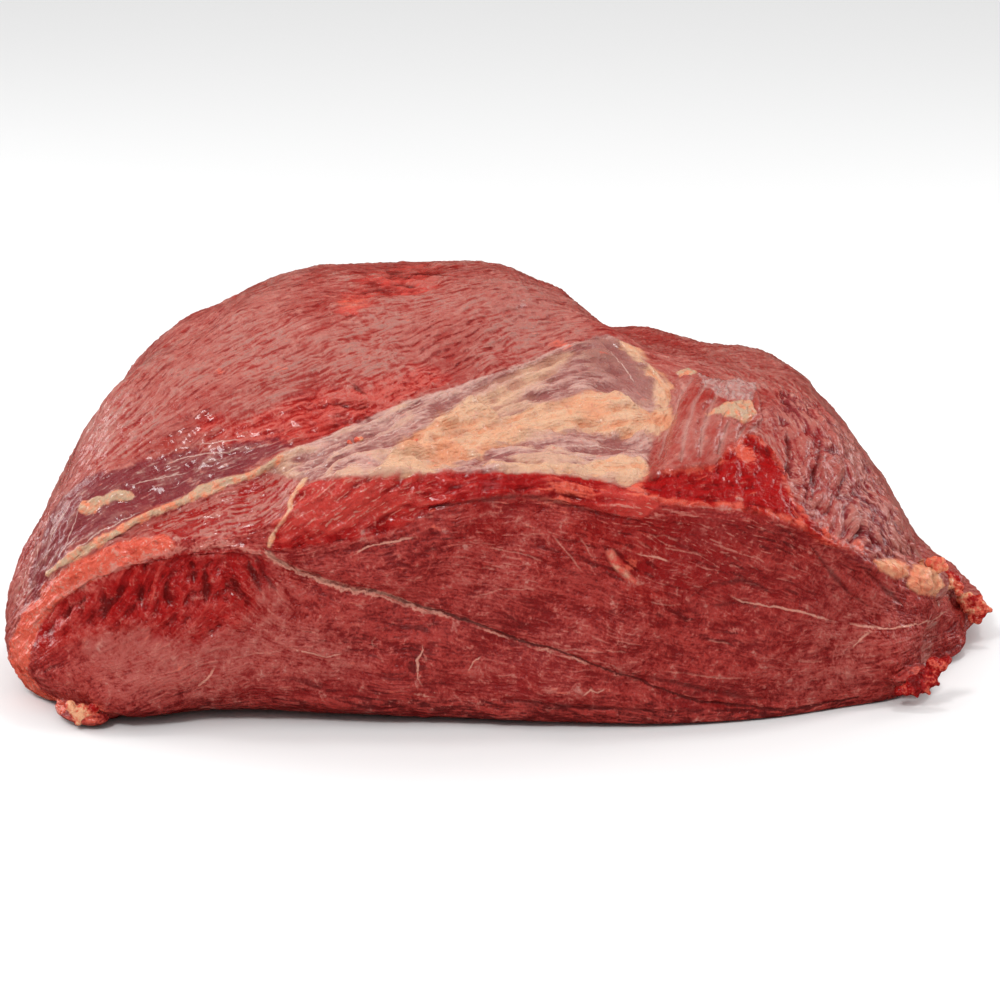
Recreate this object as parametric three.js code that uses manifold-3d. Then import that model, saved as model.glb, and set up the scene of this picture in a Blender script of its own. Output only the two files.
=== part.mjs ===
// A raw beef shoulder clod lying on its flat side, as one closed solid.
// Millimetres, +Z up. The cut face looks to -Y, the thin tail points to +X, and the
// origin is under the middle of the piece, on the surface that it lies on.
import * as THREE from "three";
import { mergeVertices } from "three/addons/utils/BufferGeometryUtils.js";
import Module from "manifold-3d";

const wasm = await Module();
wasm.setup();

// Driving sizes
const LENGTH = 380; // left end to the tip of the tail
const DEPTH = 245; // cut face to the back
const HEIGHT = 142; // top of the heart muscle
const HALF = LENGTH / 2;

// Plan outline: how far back each end comes to its point, and how round each corner is
const LEFT_POINT_Y = 46;
const TAIL_POINT_Y = 98;
const FRONT_LEFT = { centre: -95, power: 3.0 };
const FRONT_RIGHT = { centre: 40, power: 1.85 };
const BACK_LEFT = { centre: 20, power: 2.4 };
const BACK_RIGHT = { centre: 20, power: 2.1 };
const LEFT_END = { round: 10, z: 20 };
const TAIL_END = { round: 24, z: 13 };

// Lines that run along the piece, as pairs of station and height or station and depth.
// The seam between two muscles crosses the cut face, and the cut edge is that face's top.
const SEAM_Z = profile([-190, 20], [-174, 38], [-153, 55], [-121, 67], [-87, 67], [-79, 61], [-53, 54],
  [-15, 41], [14, 31], [45, 19], [72, 10], [102, 6], [190, 4]);
const EDGE_Z = profile([-190, 34], [-176, 41], [-171, 48], [-159, 58], [-147, 65], [-123, 71], [-92, 75],
  [-86, 78], [-75, 92], [-44, 96], [-10, 98], [19, 96], [47, 91], [69, 86], [103, 78], [126, 62],
  [147, 46], [159, 35], [171, 25], [190, 15]);
const STRIP_DROP = profile([-190, 3], [-100, 5], [-75, 8], [-40, 13], [20, 13], [55, 12], [110, 7], [190, 3]);
const TUCK = profile([-190, 8], [-140, 14], [-100, 13], [-60, 8], [0, 3], [60, 2], [190, 4]);
const FOLD_Y = profile([-190, 46], [-173, 25], [-158, 15], [-146, 15], [-124, 19], [-94, 25], [-65, 32],
  [-33, 48], [-7, 62], [17, 80], [44, 94], [60, 92], [100, 80], [150, 76], [190, 98]);
const FOLD_Z = profile([-190, 40], [-173, 50], [-158, 62], [-146, 69], [-124, 79], [-94, 92], [-65, 103],
  [-33, 110], [-7, 115], [17, 121], [44, 123], [60, 122], [190, 122]);
const CREST_Y = profile([-190, 46], [-165, 62], [-145, 82], [-110, 108], [-60, 122], [0, 122], [26, 114],
  [45, 104], [80, 92], [120, 88], [160, 88], [190, 98]);
const CREST_Z = profile([-190, 54], [-182, 57], [-172, 71], [-158, 97], [-147, 111], [-125, 126], [-102, 135],
  [-67, 141], [-29, HEIGHT], [0, 141], [26, 133.5], [50, 123.5], [66, 117], [86, 111], [110, 106], [126, 92],
  [143, 69], [158, 45], [165, 32], [175, 20], [190, 17]);

// The left edge of the blade lobe, as pairs of y and x. The stations near it bend to follow it.
const LOBE_STATION = 55;
const LOBE_REACH = 45;
const LOBE_EDGE = profile([0, 50], [20, 58], [40, 63], [62, 66], [76, 62], [97, 50], [128, 43], [250, 30]);

// Section shape
const EQUATOR_Z = 42; // height at which the back is widest
const BACK_POWER = 2.3;
const BACK_INSET = 22; // how far the foot of the back lies inside the widest line
const FACE_LEAN = 7; // how far the cut face leans back over its height
const FOOT_HEIGHT = 18; // height over which its foot turns under
const HEART_ROUND = 2.2;
const LOBE_ROUND = 2.7;

// Muscle relief
const LOBE_STEP = 6; // width of the step up to the lobe
const APRON_SAG = 5; // how far the silverskin between fold and cut edge sinks
const SEAM_DEPTH = 2.2;
const STRIP_PROUD = 2.4; // the strip under the cut edge overhangs the rest of the face
const FOLD_RIDGE = 1.6; // fat along the fold, at the left
const BUNDLE = { width: 8.6, depth: 0.8, from: 66, to: 100, top: 46 };
const GASH = { x: -47, y: 108, length: 24, width: 9, depth: 3.5, turn: 0.12 };
const BACK_SEAM = { depth: 4.5, width: 11 };
const SWELL = { size: 1.5, waves: 6, longest: 95, ratio: 0.8 };

// Mesh spacing
const STATIONS = 86;
const STEPS = { low: 5, face: 8, strip: 3, apron: 9, heart: 12, back: 11, heel: 4, sole: 5 };

// A smooth curve through pairs of station and value that never overshoots them
function profile(...pairs) {
  const last = pairs.length - 1;
  const chord = [];
  for (let i = 0; i < last; i++) {
    chord.push((pairs[i + 1][1] - pairs[i][1]) / (pairs[i + 1][0] - pairs[i][0]));
  }
  const slope = pairs.map((_, i) => {
    if (i === 0) return chord[0];
    if (i === last) return chord[last - 1];
    const product = chord[i - 1] * chord[i];
    return product <= 0 ? 0 : (2 * product) / (chord[i - 1] + chord[i]);
  });
  return (station) => {
    const s = THREE.MathUtils.clamp(station, pairs[0][0], pairs[last][0]);
    let i = 0;
    while (i < last - 1 && s > pairs[i + 1][0]) i++;
    const width = pairs[i + 1][0] - pairs[i][0];
    const t = (s - pairs[i][0]) / width;
    const [p, q] = [pairs[i][1], pairs[i + 1][1]];
    const [m, k] = [slope[i] * width, slope[i + 1] * width];
    return p + t * (m + t * (3 * (q - p) - 2 * m - k + t * (2 * (p - q) + m + k)));
  };
}

const { clamp, lerp, smoothstep } = THREE.MathUtils;

// 1 from low to high, fading to 0 over a soft margin round each
function between(value, low, high, margin) {
  const rising = smoothstep(value, low - margin / 2, low + margin / 2);
  return rising * (1 - smoothstep(value, high - margin / 2, high + margin / 2));
}

function bell(distance, width) {
  return Math.exp(-((distance / width) ** 2));
}

// A quarter of a superellipse: 1 at u = 0, falling to 0 at u = 1
function quarter(u, power) {
  return Math.max(0, 1 - clamp(u, 0, 1) ** power) ** (1 / power);
}

function frontY(s) {
  const [y, corner, end] = s < 0 ? [LEFT_POINT_Y, FRONT_LEFT, -HALF] : [TAIL_POINT_Y, FRONT_RIGHT, HALF];
  return y * (1 - quarter((s - corner.centre) / (end - corner.centre), corner.power));
}

function backY(s) {
  const left = s < BACK_LEFT.centre;
  const [y, corner, end] = left ? [LEFT_POINT_Y, BACK_LEFT, -HALF] : [TAIL_POINT_Y, BACK_RIGHT, HALF];
  return y + (DEPTH - y) * quarter((s - corner.centre) / (end - corner.centre), corner.power);
}

// The height of a point after both ends are rounded towards their poles
function roundEnds(s, z) {
  const end = s < 0 ? LEFT_END : TAIL_END;
  return lerp(end.z, z, quarter((Math.abs(s) - HALF + end.round) / end.round, 2));
}

// How far a station has passed onto the lobe
function onLobe(s) {
  return smoothstep(s, LOBE_STATION - LOBE_STEP / 2, LOBE_STATION + LOBE_STEP / 2);
}

// The named points of the section at one station
function landmarks(s) {
  const front = frontY(s);
  const back = backY(s);
  const full = clamp((back - front) / 90, 0, 1);
  const edge = { y: front + FACE_LEAN * full, z: EDGE_Z(s) };
  const strip = edge.z - Math.min(STRIP_DROP(s), 0.2 * edge.z);
  const seam = Math.min(SEAM_Z(s), strip - 1.5);
  const crest = { y: clamp(CREST_Y(s), edge.y, back), z: Math.max(CREST_Z(s), edge.z) };
  const run = crest.y - edge.y;
  const foldY = clamp(FOLD_Y(s), edge.y + 0.05 * run, crest.y - 0.15 * run);
  const fold = { y: foldY, z: clamp(FOLD_Z(s), edge.z, crest.z) };
  const inset = Math.min(BACK_INSET, 0.2 * (back - front));
  return { front, back, full, edge, strip, seam, fold, crest, inset, tuck: TUCK(s) * full };
}

function facePoint(mark, z) {
  const under = Math.max(0, 1 - z / FOOT_HEIGHT) ** 2;
  const lean = (mark.edge.y - mark.front) * (z / mark.edge.z) ** 1.6;
  return [mark.front + lean + mark.tuck * under, z];
}

// The top between the cut edge and the crest: a sunken apron and the heart above it, or the lobe
function topPoint(s, mark, y) {
  const { edge, fold, crest } = mark;
  const along = clamp((y - edge.y) / (fold.y - edge.y), 0, 1);
  const sag = APRON_SAG * Math.sin(Math.PI * along) * smoothstep(s, -60, 10);
  const rise = clamp((y - fold.y) / (crest.y - fold.y), 0, 1);
  const heart = fold.z + (crest.z - fold.z) * (1 - (1 - rise) ** HEART_ROUND);
  const front = y < fold.y ? lerp(edge.z, fold.z, along) - sag : heart;
  const across = clamp((y - edge.y) / (crest.y - edge.y), 0, 1);
  const lobe = edge.z + (crest.z - edge.z) * (1 - (1 - across) ** LOBE_ROUND);
  return [y, lerp(front, lobe, onLobe(s))];
}

// One closed section, from the foot of the cut face up and over to the back and along the sole
function section(s) {
  const mark = landmarks(s);
  const { edge, fold, crest, back, inset } = mark;
  const equator = Math.min(EQUATOR_Z, 0.5 * crest.z);
  const points = [];
  const stretch = (name, place) => {
    for (let i = 0; i < STEPS[name]; i++) {
      const [y, z] = place(i / STEPS[name]);
      points.push({ name, step: i, y, z });
    }
  };
  stretch("low", (t) => facePoint(mark, mark.seam * t));
  stretch("face", (t) => facePoint(mark, lerp(mark.seam, mark.strip, t)));
  stretch("strip", (t) => facePoint(mark, lerp(mark.strip, edge.z, t)));
  stretch("apron", (t) => topPoint(s, mark, lerp(edge.y, fold.y, t)));
  stretch("heart", (t) => topPoint(s, mark, lerp(fold.y, crest.y, t)));
  stretch("back", (t) => {
    const turn = (t * Math.PI) / 2;
    const y = lerp(crest.y, back, Math.sin(turn) ** (2 / BACK_POWER));
    return [y, lerp(equator, crest.z, Math.cos(turn) ** (2 / BACK_POWER))];
  });
  stretch("heel", (t) => {
    const turn = (t * Math.PI) / 2;
    return [back - inset * (1 - Math.cos(turn)), equator * (1 - Math.sin(turn))];
  });
  stretch("sole", (t) => [lerp(back - inset, mark.front + mark.tuck, t), 0]);
  for (const point of points) {
    point.x = s + (LOBE_EDGE(point.y) - LOBE_STATION) * bell(s - LOBE_STATION, LOBE_REACH);
    point.z = roundEnds(s, point.z);
    point.s = s;
  }
  return points;
}

// Stations along the length, closest at the ends and next over the lobe's fibre bundles
function stations() {
  const density = (s) => 0.72 + 0.28 / Math.sqrt(1 - (s / HALF) ** 2) + 0.7 * bell(s - 80, 24);
  const pieces = 4000;
  const sums = [0];
  for (let i = 0; i < pieces; i++) {
    sums.push(sums[i] + density(-HALF + (LENGTH * (i + 0.5)) / pieces));
  }
  const made = [];
  for (let k = 1; k < STATIONS; k++) {
    const goal = (sums[pieces] * k) / STATIONS;
    made.push(-HALF + (LENGTH * sums.findIndex((sum) => sum >= goal)) / pieces);
  }
  return [-HALF + 0.2, ...made, HALF - 0.2];
}

// Long soft waves that keep the surface from looking turned on a lathe
function swell(x, y, z) {
  let sum = 0;
  for (let i = 0; i < SWELL.waves; i++) {
    const turn = 2.4 * i;
    const pitch = Math.sin(1.9 * i + 0.6);
    const across = Math.cos(turn) * x + Math.sin(turn) * y;
    const wave = SWELL.longest * SWELL.ratio ** i;
    sum += Math.sin((2 * Math.PI * (across * (1 - 0.4 * Math.abs(pitch)) + pitch * z)) / wave + 1.7 * i);
  }
  return (SWELL.size * sum) / Math.sqrt(SWELL.waves);
}

// How far a point of the section stands out from the plain form
function relief({ name, step, s, x, y, z }) {
  let out = swell(x, y, z);
  if (name === "face" && step === 0) out -= SEAM_DEPTH * lerp(0.5, 1, smoothstep(s, -92, -84));
  if (name === "strip" && step > 0) out += STRIP_PROUD * between(s, -50, 135, 40);
  if (name === "heart" && step === 0) out += FOLD_RIDGE * between(s, -170, -78, 18);
  if (name === "apron" || name === "heart") {
    const inside = between(s, BUNDLE.from, BUNDLE.to, 8) * (1 - smoothstep(y, BUNDLE.top - 22, BUNDLE.top));
    const bundle = Math.abs(Math.sin((Math.PI * (s + 0.12 * y)) / BUNDLE.width));
    out += BUNDLE.depth * inside * (2 * bundle - 1);
    const along = Math.cos(GASH.turn) * (x - GASH.x) + Math.sin(GASH.turn) * (y - GASH.y);
    const across = Math.cos(GASH.turn) * (y - GASH.y) - Math.sin(GASH.turn) * (x - GASH.x);
    out -= GASH.depth * bell(along, GASH.length) * bell(across, GASH.width);
  }
  if (name === "back" || name === "heart") {
    const behind = smoothstep(y, 100, 135);
    out -= BACK_SEAM.depth * behind * bell(s - LOBE_STATION, BACK_SEAM.width);
  }
  return out * smoothstep(z, 1, 14) * smoothstep(HALF - Math.abs(s), 0, 12);
}

function loft() {
  const rings = stations().map(section);
  const around = rings[0].length;
  const points = rings.flat();
  const index = [];
  for (let r = 0; r < rings.length - 1; r++) {
    for (let k = 0; k < around; k++) {
      const a = r * around + k;
      const b = r * around + ((k + 1) % around);
      index.push(a, a + around, b, b, a + around, b + around);
    }
  }
  for (const first of [0, points.length - around]) {
    const middle = { x: 0, y: 0, z: 0, s: points[first].s, name: "end" };
    for (let k = 0; k < around; k++) {
      middle.x += points[first + k].x / around;
      middle.y += points[first + k].y / around;
      middle.z += points[first + k].z / around;
    }
    const centre = points.push(middle) - 1;
    for (let k = 0; k < around; k++) {
      const [a, b] = [first + k, first + ((k + 1) % around)];
      index.push(centre, ...(first === 0 ? [a, b] : [b, a]));
    }
  }
  const geometry = new THREE.BufferGeometry();
  const plain = points.flatMap(({ x, y, z }) => [x, y, z]);
  geometry.setAttribute("position", new THREE.Float32BufferAttribute(plain, 3));
  geometry.setIndex(index);
  geometry.computeVertexNormals();
  const normal = geometry.getAttribute("normal");
  const shaped = points.flatMap((point, i) => {
    const out = relief(point);
    return [
      point.x + out * normal.getX(i),
      point.y + out * normal.getY(i),
      Math.max(0, point.z + out * normal.getZ(i)),
    ];
  });
  geometry.setAttribute("position", new THREE.Float32BufferAttribute(shaped, 3));
  geometry.deleteAttribute("normal");
  return geometry;
}

// Rough lumps of fat and shreds of meat, each an uneven ball: where it sits, its three radii
// and how it is turned about the upright axis and about Y
const LUMPS = [
  { at: [163, 97, 32], size: [10, 12, 6], turn: 0.3, tilt: 0.9 },
  { at: [174, 97, 23], size: [9, 10, 6], turn: -0.3, tilt: 0.6 },
  { at: [181, 96, 15], size: [11, 8, 6], turn: 0.2, tilt: 0.5 },
  { at: [149, 54, 42], size: [13, 9, 8], turn: 0.7, tilt: 0.75 },
  { at: [160, 68, 33], size: [12, 9, 8], turn: 0.8, tilt: 0.75 },
  { at: [154, 42, 8], size: [15, 8, 5], turn: 0.7, tilt: 0.2 },
  { at: [-160, 12, 4], size: [13, 8, 3.6], turn: -0.35, tilt: 0.05 },
];

function lump({ at, size, turn, tilt }, i) {
  const geometry = new THREE.IcosahedronGeometry(1, 2);
  geometry.deleteAttribute("normal");
  geometry.deleteAttribute("uv");
  const merged = mergeVertices(geometry, 1e-4);
  const place = merged.getAttribute("position");
  for (let v = 0; v < place.count; v++) {
    const p = new THREE.Vector3().fromBufferAttribute(place, v);
    const bump = Math.sin(3.1 * p.x + 2 * i) + Math.sin(3.7 * p.y + i) + Math.sin(2.9 * p.z + 3 * i);
    p.multiplyScalar(1 + 0.08 * bump);
    place.setXYZ(v, p.x, p.y, p.z);
  }
  merged.scale(...size);
  merged.rotateY(tilt);
  merged.rotateZ(turn);
  merged.translate(...at);
  for (let v = 0; v < place.count; v++) {
    place.setZ(v, Math.max(place.getZ(v), 0.3));
  }
  return merged;
}

function solid(geometry) {
  return new wasm.Manifold(
    new wasm.Mesh({
      numProp: 3,
      vertProperties: new Float32Array(geometry.getAttribute("position").array),
      triVerts: new Uint32Array(geometry.index.array),
    }),
  );
}

function fuse(body, pieces) {
  const joined = pieces.reduce((sum, piece) => sum.add(solid(piece)), solid(body));
  const mesh = joined.getMesh();
  const geometry = new THREE.BufferGeometry();
  geometry.setAttribute("position", new THREE.BufferAttribute(mesh.vertProperties, 3));
  geometry.setIndex(new THREE.BufferAttribute(mesh.triVerts, 1));
  return geometry;
}

function centre(geometry) {
  geometry.computeBoundingBox();
  const middle = geometry.boundingBox.getCenter(new THREE.Vector3());
  return geometry.translate(-middle.x, -middle.y, 0);
}

const meat = new THREE.MeshStandardMaterial({ color: 0x8f2f2c, roughness: 0.45, metalness: 0 });

const clod = new THREE.Mesh(centre(fuse(loft(), LUMPS.map(lump))), meat);
clod.name = "shoulder_clod";

const piece = new THREE.Group();
piece.add(clod);

export default piece;
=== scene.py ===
"""Looks of a raw beef shoulder clod: its muscles, silverskin, fat and marbling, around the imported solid.
Blender metres, +Z up. Sizes inside the shaping code are millimetres, and each is named.
Places on the piece are named pixels of the photograph, cast onto the solid from the photograph's camera."""

import math

import bmesh
import bpy
import numpy as np
from mathutils import Matrix, Vector
from mathutils.bvhtree import BVHTree


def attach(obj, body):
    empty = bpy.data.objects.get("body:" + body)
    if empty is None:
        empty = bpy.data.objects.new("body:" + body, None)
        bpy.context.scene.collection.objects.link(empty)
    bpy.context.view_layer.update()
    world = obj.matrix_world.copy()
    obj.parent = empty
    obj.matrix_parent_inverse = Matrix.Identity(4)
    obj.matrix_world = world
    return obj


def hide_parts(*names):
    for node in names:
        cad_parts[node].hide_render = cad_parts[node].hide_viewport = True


NODE = "shoulder_clod"
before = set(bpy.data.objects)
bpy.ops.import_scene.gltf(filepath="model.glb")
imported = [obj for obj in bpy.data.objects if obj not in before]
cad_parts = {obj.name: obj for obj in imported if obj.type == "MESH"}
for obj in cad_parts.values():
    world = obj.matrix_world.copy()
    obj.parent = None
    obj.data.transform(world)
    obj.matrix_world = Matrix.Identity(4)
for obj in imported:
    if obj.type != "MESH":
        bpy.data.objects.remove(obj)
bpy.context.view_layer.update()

# The photograph's camera: it looks along +Y and down

MM = 0.001
IMAGE = 1000
SENSOR_MM = 36.0
LENS_MM = 114.12
CAMERA_ELEVATION = math.radians(18.0)
CAMERA_DISTANCE = 1200.0
CAMERA_TARGET = np.array([-4.25, -62.1, 69.8])
FORWARD = np.array([0.0, math.cos(CAMERA_ELEVATION), -math.sin(CAMERA_ELEVATION)])
UPWARD = np.array([0.0, math.sin(CAMERA_ELEVATION), math.cos(CAMERA_ELEVATION)])
RIGHTWARD = np.array([1.0, 0.0, 0.0])
EYE = CAMERA_TARGET - FORWARD * CAMERA_DISTANCE
FOCAL_PX = IMAGE * LENS_MM / SENSOR_MM


def pixels(points):
    """Where millimetre points land in the photograph."""
    offset = points - EYE
    depth = offset @ FORWARD
    across = IMAGE / 2 + FOCAL_PX * (offset @ RIGHTWARD) / depth
    down = IMAGE / 2 - FOCAL_PX * (offset @ UPWARD) / depth
    return np.stack([across, down], axis=1)


def sight_line(px, py):
    ray = FORWARD * FOCAL_PX + RIGHTWARD * (px - IMAGE / 2) + UPWARD * (IMAGE / 2 - py)
    return ray / np.linalg.norm(ray)


def smoothstep(low, high, value):
    t = np.clip((value - low) / (high - low), 0.0, 1.0)
    return t * t * (3.0 - 2.0 * t)


# Noise

TABLE_SIZE = 4096
SEED_STEP = 57
OCTAVE_SEED = 17
NOISE_GAIN = 1.7
PUFF_MEAN = 0.3
DICE = np.random.default_rng(11)
SHUFFLE = DICE.permutation(TABLE_SIZE)
SLOPES = DICE.normal(size=(TABLE_SIZE, 3))
SLOPES /= np.linalg.norm(SLOPES, axis=1)[:, None]


def noise(points, size, seed=0):
    """Smooth noise from about -1 to 1, with bumps about size apart. size may differ along each axis."""
    scaled = points / np.asarray(size, float)
    cell = np.floor(scaled).astype(np.int64)
    part = scaled - cell
    ease = part * part * part * (part * (part * 6.0 - 15.0) + 10.0)
    total = np.zeros(len(points))
    last = TABLE_SIZE - 1
    for dx in (0, 1):
        first = SHUFFLE[(cell[:, 0] + dx + SEED_STEP * seed) & last]
        weight_x = ease[:, 0] if dx else 1.0 - ease[:, 0]
        for dy in (0, 1):
            second = SHUFFLE[(first + cell[:, 1] + dy) & last]
            weight_xy = weight_x * (ease[:, 1] if dy else 1.0 - ease[:, 1])
            for dz in (0, 1):
                slope = SLOPES[SHUFFLE[(second + cell[:, 2] + dz) & last]]
                weight = weight_xy * (ease[:, 2] if dz else 1.0 - ease[:, 2])
                reach = slope[:, 0] * (part[:, 0] - dx) + slope[:, 1] * (part[:, 1] - dy)
                total += weight * (reach + slope[:, 2] * (part[:, 2] - dz))
    return total * NOISE_GAIN


def fractal(points, size, seed=0, octaves=3, gain=0.5):
    total = np.zeros(len(points))
    share = 1.0
    shares = 0.0
    for octave in range(octaves):
        total += share * noise(points, np.asarray(size, float) / 2.0 ** octave, seed + OCTAVE_SEED * octave)
        shares += share
        share *= gain
    return total / shares


def billow(points, size, seed=0, octaves=2):
    """Puffy cells with sharp creases between them, about 0 on average."""
    total = np.zeros(len(points))
    share = 1.0
    for octave in range(octaves):
        puff = np.abs(noise(points, np.asarray(size, float) / 2.0 ** octave, seed + OCTAVE_SEED * octave))
        total += share * (puff - PUFF_MEAN)
        share *= 0.5
    return total


def ridges(value, width):
    """1 where the noise crosses zero, so a thin line, falling to 0 a width away."""
    return np.clip(1.0 - np.abs(value) / width, 0.0, 1.0)


# The solid's surface, made fine

REACH = 12.0
LINE_REACH = 6.0
HAIR_REACH = 3.0
SEEN = -0.02
SMOOTH_LEVELS = 3
WELD = 2e-5
JOIN_BEND = math.radians(50.0)
JOIN_SHAPE = math.radians(60.0)


def read_vectors(collection, attribute):
    flat = np.zeros(len(collection) * 3, np.float32)
    collection.foreach_get(attribute, flat)
    return flat.reshape(-1, 3).astype(float)


def put_attribute(mesh, name, values):
    if values.ndim == 1:
        layer = mesh.attributes.new(name, "FLOAT", "POINT")
        layer.data.foreach_set("value", values.astype(np.float32))
    else:
        layer = mesh.attributes.new(name, "FLOAT_VECTOR", "POINT")
        layer.data.foreach_set("vector", values.astype(np.float32).ravel())


def coarse_copy(name):
    """The solid's mesh, with its triangles joined to quads."""
    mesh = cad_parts[NODE].data.copy()
    mesh.name = name
    mesh.materials.clear()
    bm = bmesh.new()
    bm.from_mesh(mesh)
    bmesh.ops.remove_doubles(bm, verts=bm.verts, dist=WELD)
    bmesh.ops.join_triangles(
        bm,
        faces=bm.faces,
        angle_face_threshold=JOIN_BEND,
        angle_shape_threshold=JOIN_SHAPE,
    )
    bm.to_mesh(mesh)
    bm.free()
    piece = bpy.data.objects.new(name, mesh)
    bpy.context.scene.collection.objects.link(piece)
    return piece


def refine(piece):
    """Rounds the piece off, and gives it points less than a millimetre apart."""
    rounding = piece.modifiers.new("rounding", "SUBSURF")
    rounding.levels = SMOOTH_LEVELS
    rounding.render_levels = SMOOTH_LEVELS
    bake(piece)


def bake(piece):
    """Puts what the modifiers make into the mesh itself."""
    depsgraph = bpy.context.evaluated_depsgraph_get()
    fine = bpy.data.meshes.new_from_object(piece.evaluated_get(depsgraph))
    piece.modifiers.clear()
    coarse = piece.data
    piece.data = fine
    bpy.data.meshes.remove(coarse)
    fine.name = piece.name


FAINT_SHARE = 0.62


class Surface:
    """A mesh in millimetres, with what the masks need to know about it."""

    def __init__(self, mesh):
        self.mesh = mesh
        self.points = read_vectors(mesh.vertices, "co") / MM
        self.normals = read_vectors(mesh.vertex_normals, "vector")
        self.tree = BVHTree.FromPolygons(
            [Vector(p) for p in self.points],
            [tuple(face.vertices) for face in mesh.polygons],
        )
        self.pixels = pixels(self.points)
        sight = EYE - self.points
        sight /= np.linalg.norm(sight, axis=1)[:, None]
        self.facing = (self.normals * sight).sum(axis=1)

    def cast(self, px, py):
        """The surface point that shows at a pixel, or the one nearest to its sight line."""
        ray = sight_line(px, py)
        hit, _, _, _ = self.tree.ray_cast(Vector(EYE), Vector(ray))
        if hit is None:
            middle = EYE + ray * CAMERA_DISTANCE
            hit, _, _, _ = self.tree.find_nearest(Vector(middle))
        return np.array(hit)

    def trace(self, spots, closed=False, step=4.0):
        """A chain of surface points along named pixels, one every few pixels."""
        ring = list(spots) + ([spots[0]] if closed else [])
        chain = []
        for (ax, ay), (bx, by) in zip(ring[:-1], ring[1:]):
            pieces = max(1, round(math.hypot(bx - ax, by - ay) / step))
            for k in range(pieces):
                t = k / pieces
                chain.append(self.cast(ax + (bx - ax) * t, ay + (by - ay) * t))
        chain.append(self.cast(*ring[-1]))
        return np.array(chain)

    def distance(self, chain, reach=REACH):
        """Distance to a chain in millimetres, up to reach, and how far along it the nearest point is."""
        best = np.full(len(self.points), reach)
        along = np.zeros(len(self.points))
        low = chain.min(axis=0) - reach
        high = chain.max(axis=0) + reach
        near = np.nonzero(((self.points > low) & (self.points < high)).all(axis=1))[0]
        p = self.points[near]
        found = np.full(len(near), reach)
        where = np.zeros(len(near))
        steps = len(chain) - 1
        for k in range(steps):
            a, b = chain[k], chain[k + 1]
            edge = b - a
            t = np.clip(((p - a) @ edge) / max(float(edge @ edge), 1e-9), 0.0, 1.0)
            gap = np.linalg.norm(p - a - t[:, None] * edge, axis=1)
            closer = gap < found
            found[closer] = gap[closer]
            where[closer] = (k + t[closer]) / steps
        best[near] = found
        along[near] = where
        return best, along

    def region(self, *outlines, reach=REACH):
        """Distance to closed outlines of pixels, negative inside one, on the side that the camera sees."""
        whole = np.full(len(self.points), reach)
        for outline in outlines:
            gap, _ = self.distance(self.trace(outline, closed=True), reach)
            inside = in_polygon(self.pixels, outline) & (self.facing > SEEN)
            whole = np.minimum(whole, np.where(inside, -gap, gap))
        return whole

    def offset(self, chain, reach=LINE_REACH):
        """Distance to the side of a chain, negative on one side, and how near the chain is, from 1 to 0."""
        gap, along = self.distance(chain, reach)
        last = len(chain) - 1
        k = np.minimum((along * last).astype(int), last - 1)
        edge = chain[k + 1] - chain[k]
        side = np.cross(edge, self.points - chain[k])
        sign = np.where((side * self.normals).sum(axis=1) > 0, 1.0, -1.0)
        return gap * sign, np.clip(1.0 - gap / reach, 0.0, 1.0), along

    def hair_lines(self, bold, faint=(), reach=HAIR_REACH):
        """Signed distance to the nearest line, and its nearness, less at its ends and on faint lines."""
        best = np.full(len(self.points), reach)
        nearness = np.zeros(len(self.points))
        shares = [1.0] * len(bold) + [FAINT_SHARE] * len(faint)
        for spots, share in zip([*bold, *faint], shares):
            signed, near, along = self.offset(self.trace(spots), reach)
            near = share * near * smoothstep(-0.1, 0.3, np.minimum(along, 1.0 - along))
            closer = (np.abs(signed) < np.abs(best)) & (np.abs(signed) < reach)
            best[closer] = signed[closer]
            nearness[closer] = near[closer]
        return best, nearness

    def line(self, spots, half_width, fade=0.25):
        """1 on a line of pixels, 0 a width away, and thin at both ends."""
        gap, along = self.distance(self.trace(spots), LINE_REACH)
        taper = np.clip(np.minimum(along, 1.0 - along) / fade, 0.0, 1.0) ** 0.5
        return np.clip(1.0 - gap / (2.0 * half_width * np.maximum(taper, 0.35)), 0.0, 1.0)

    def lines(self, many, half_width, fade=0.25):
        total = np.zeros(len(self.points))
        for spots in many:
            total = np.maximum(total, self.line(spots, half_width, fade))
        return total

    def glow(self, blobs):
        """Soft spots, each given as (pixel across, pixel down, radius in millimetres, strength)."""
        total = np.zeros(len(self.points))
        for px, py, radius, strength in blobs:
            gap = ((self.points - self.cast(px, py)) ** 2).sum(axis=1)
            total += strength * np.exp(-gap / (2.0 * radius * radius))
        return total


def in_polygon(points, outline):
    x, y = points.T
    inside = np.zeros(len(points), bool)
    ring = np.array(outline, float)
    for (ax, ay), (bx, by) in zip(ring, np.roll(ring, -1, axis=0)):
        if ay == by:
            continue
        crosses = (ay > y) != (by > y)
        inside ^= crosses & (x < (bx - ax) * (y - ay) / (by - ay) + ax)
    return inside


# Grain: the way that the meat's fibres run

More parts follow.
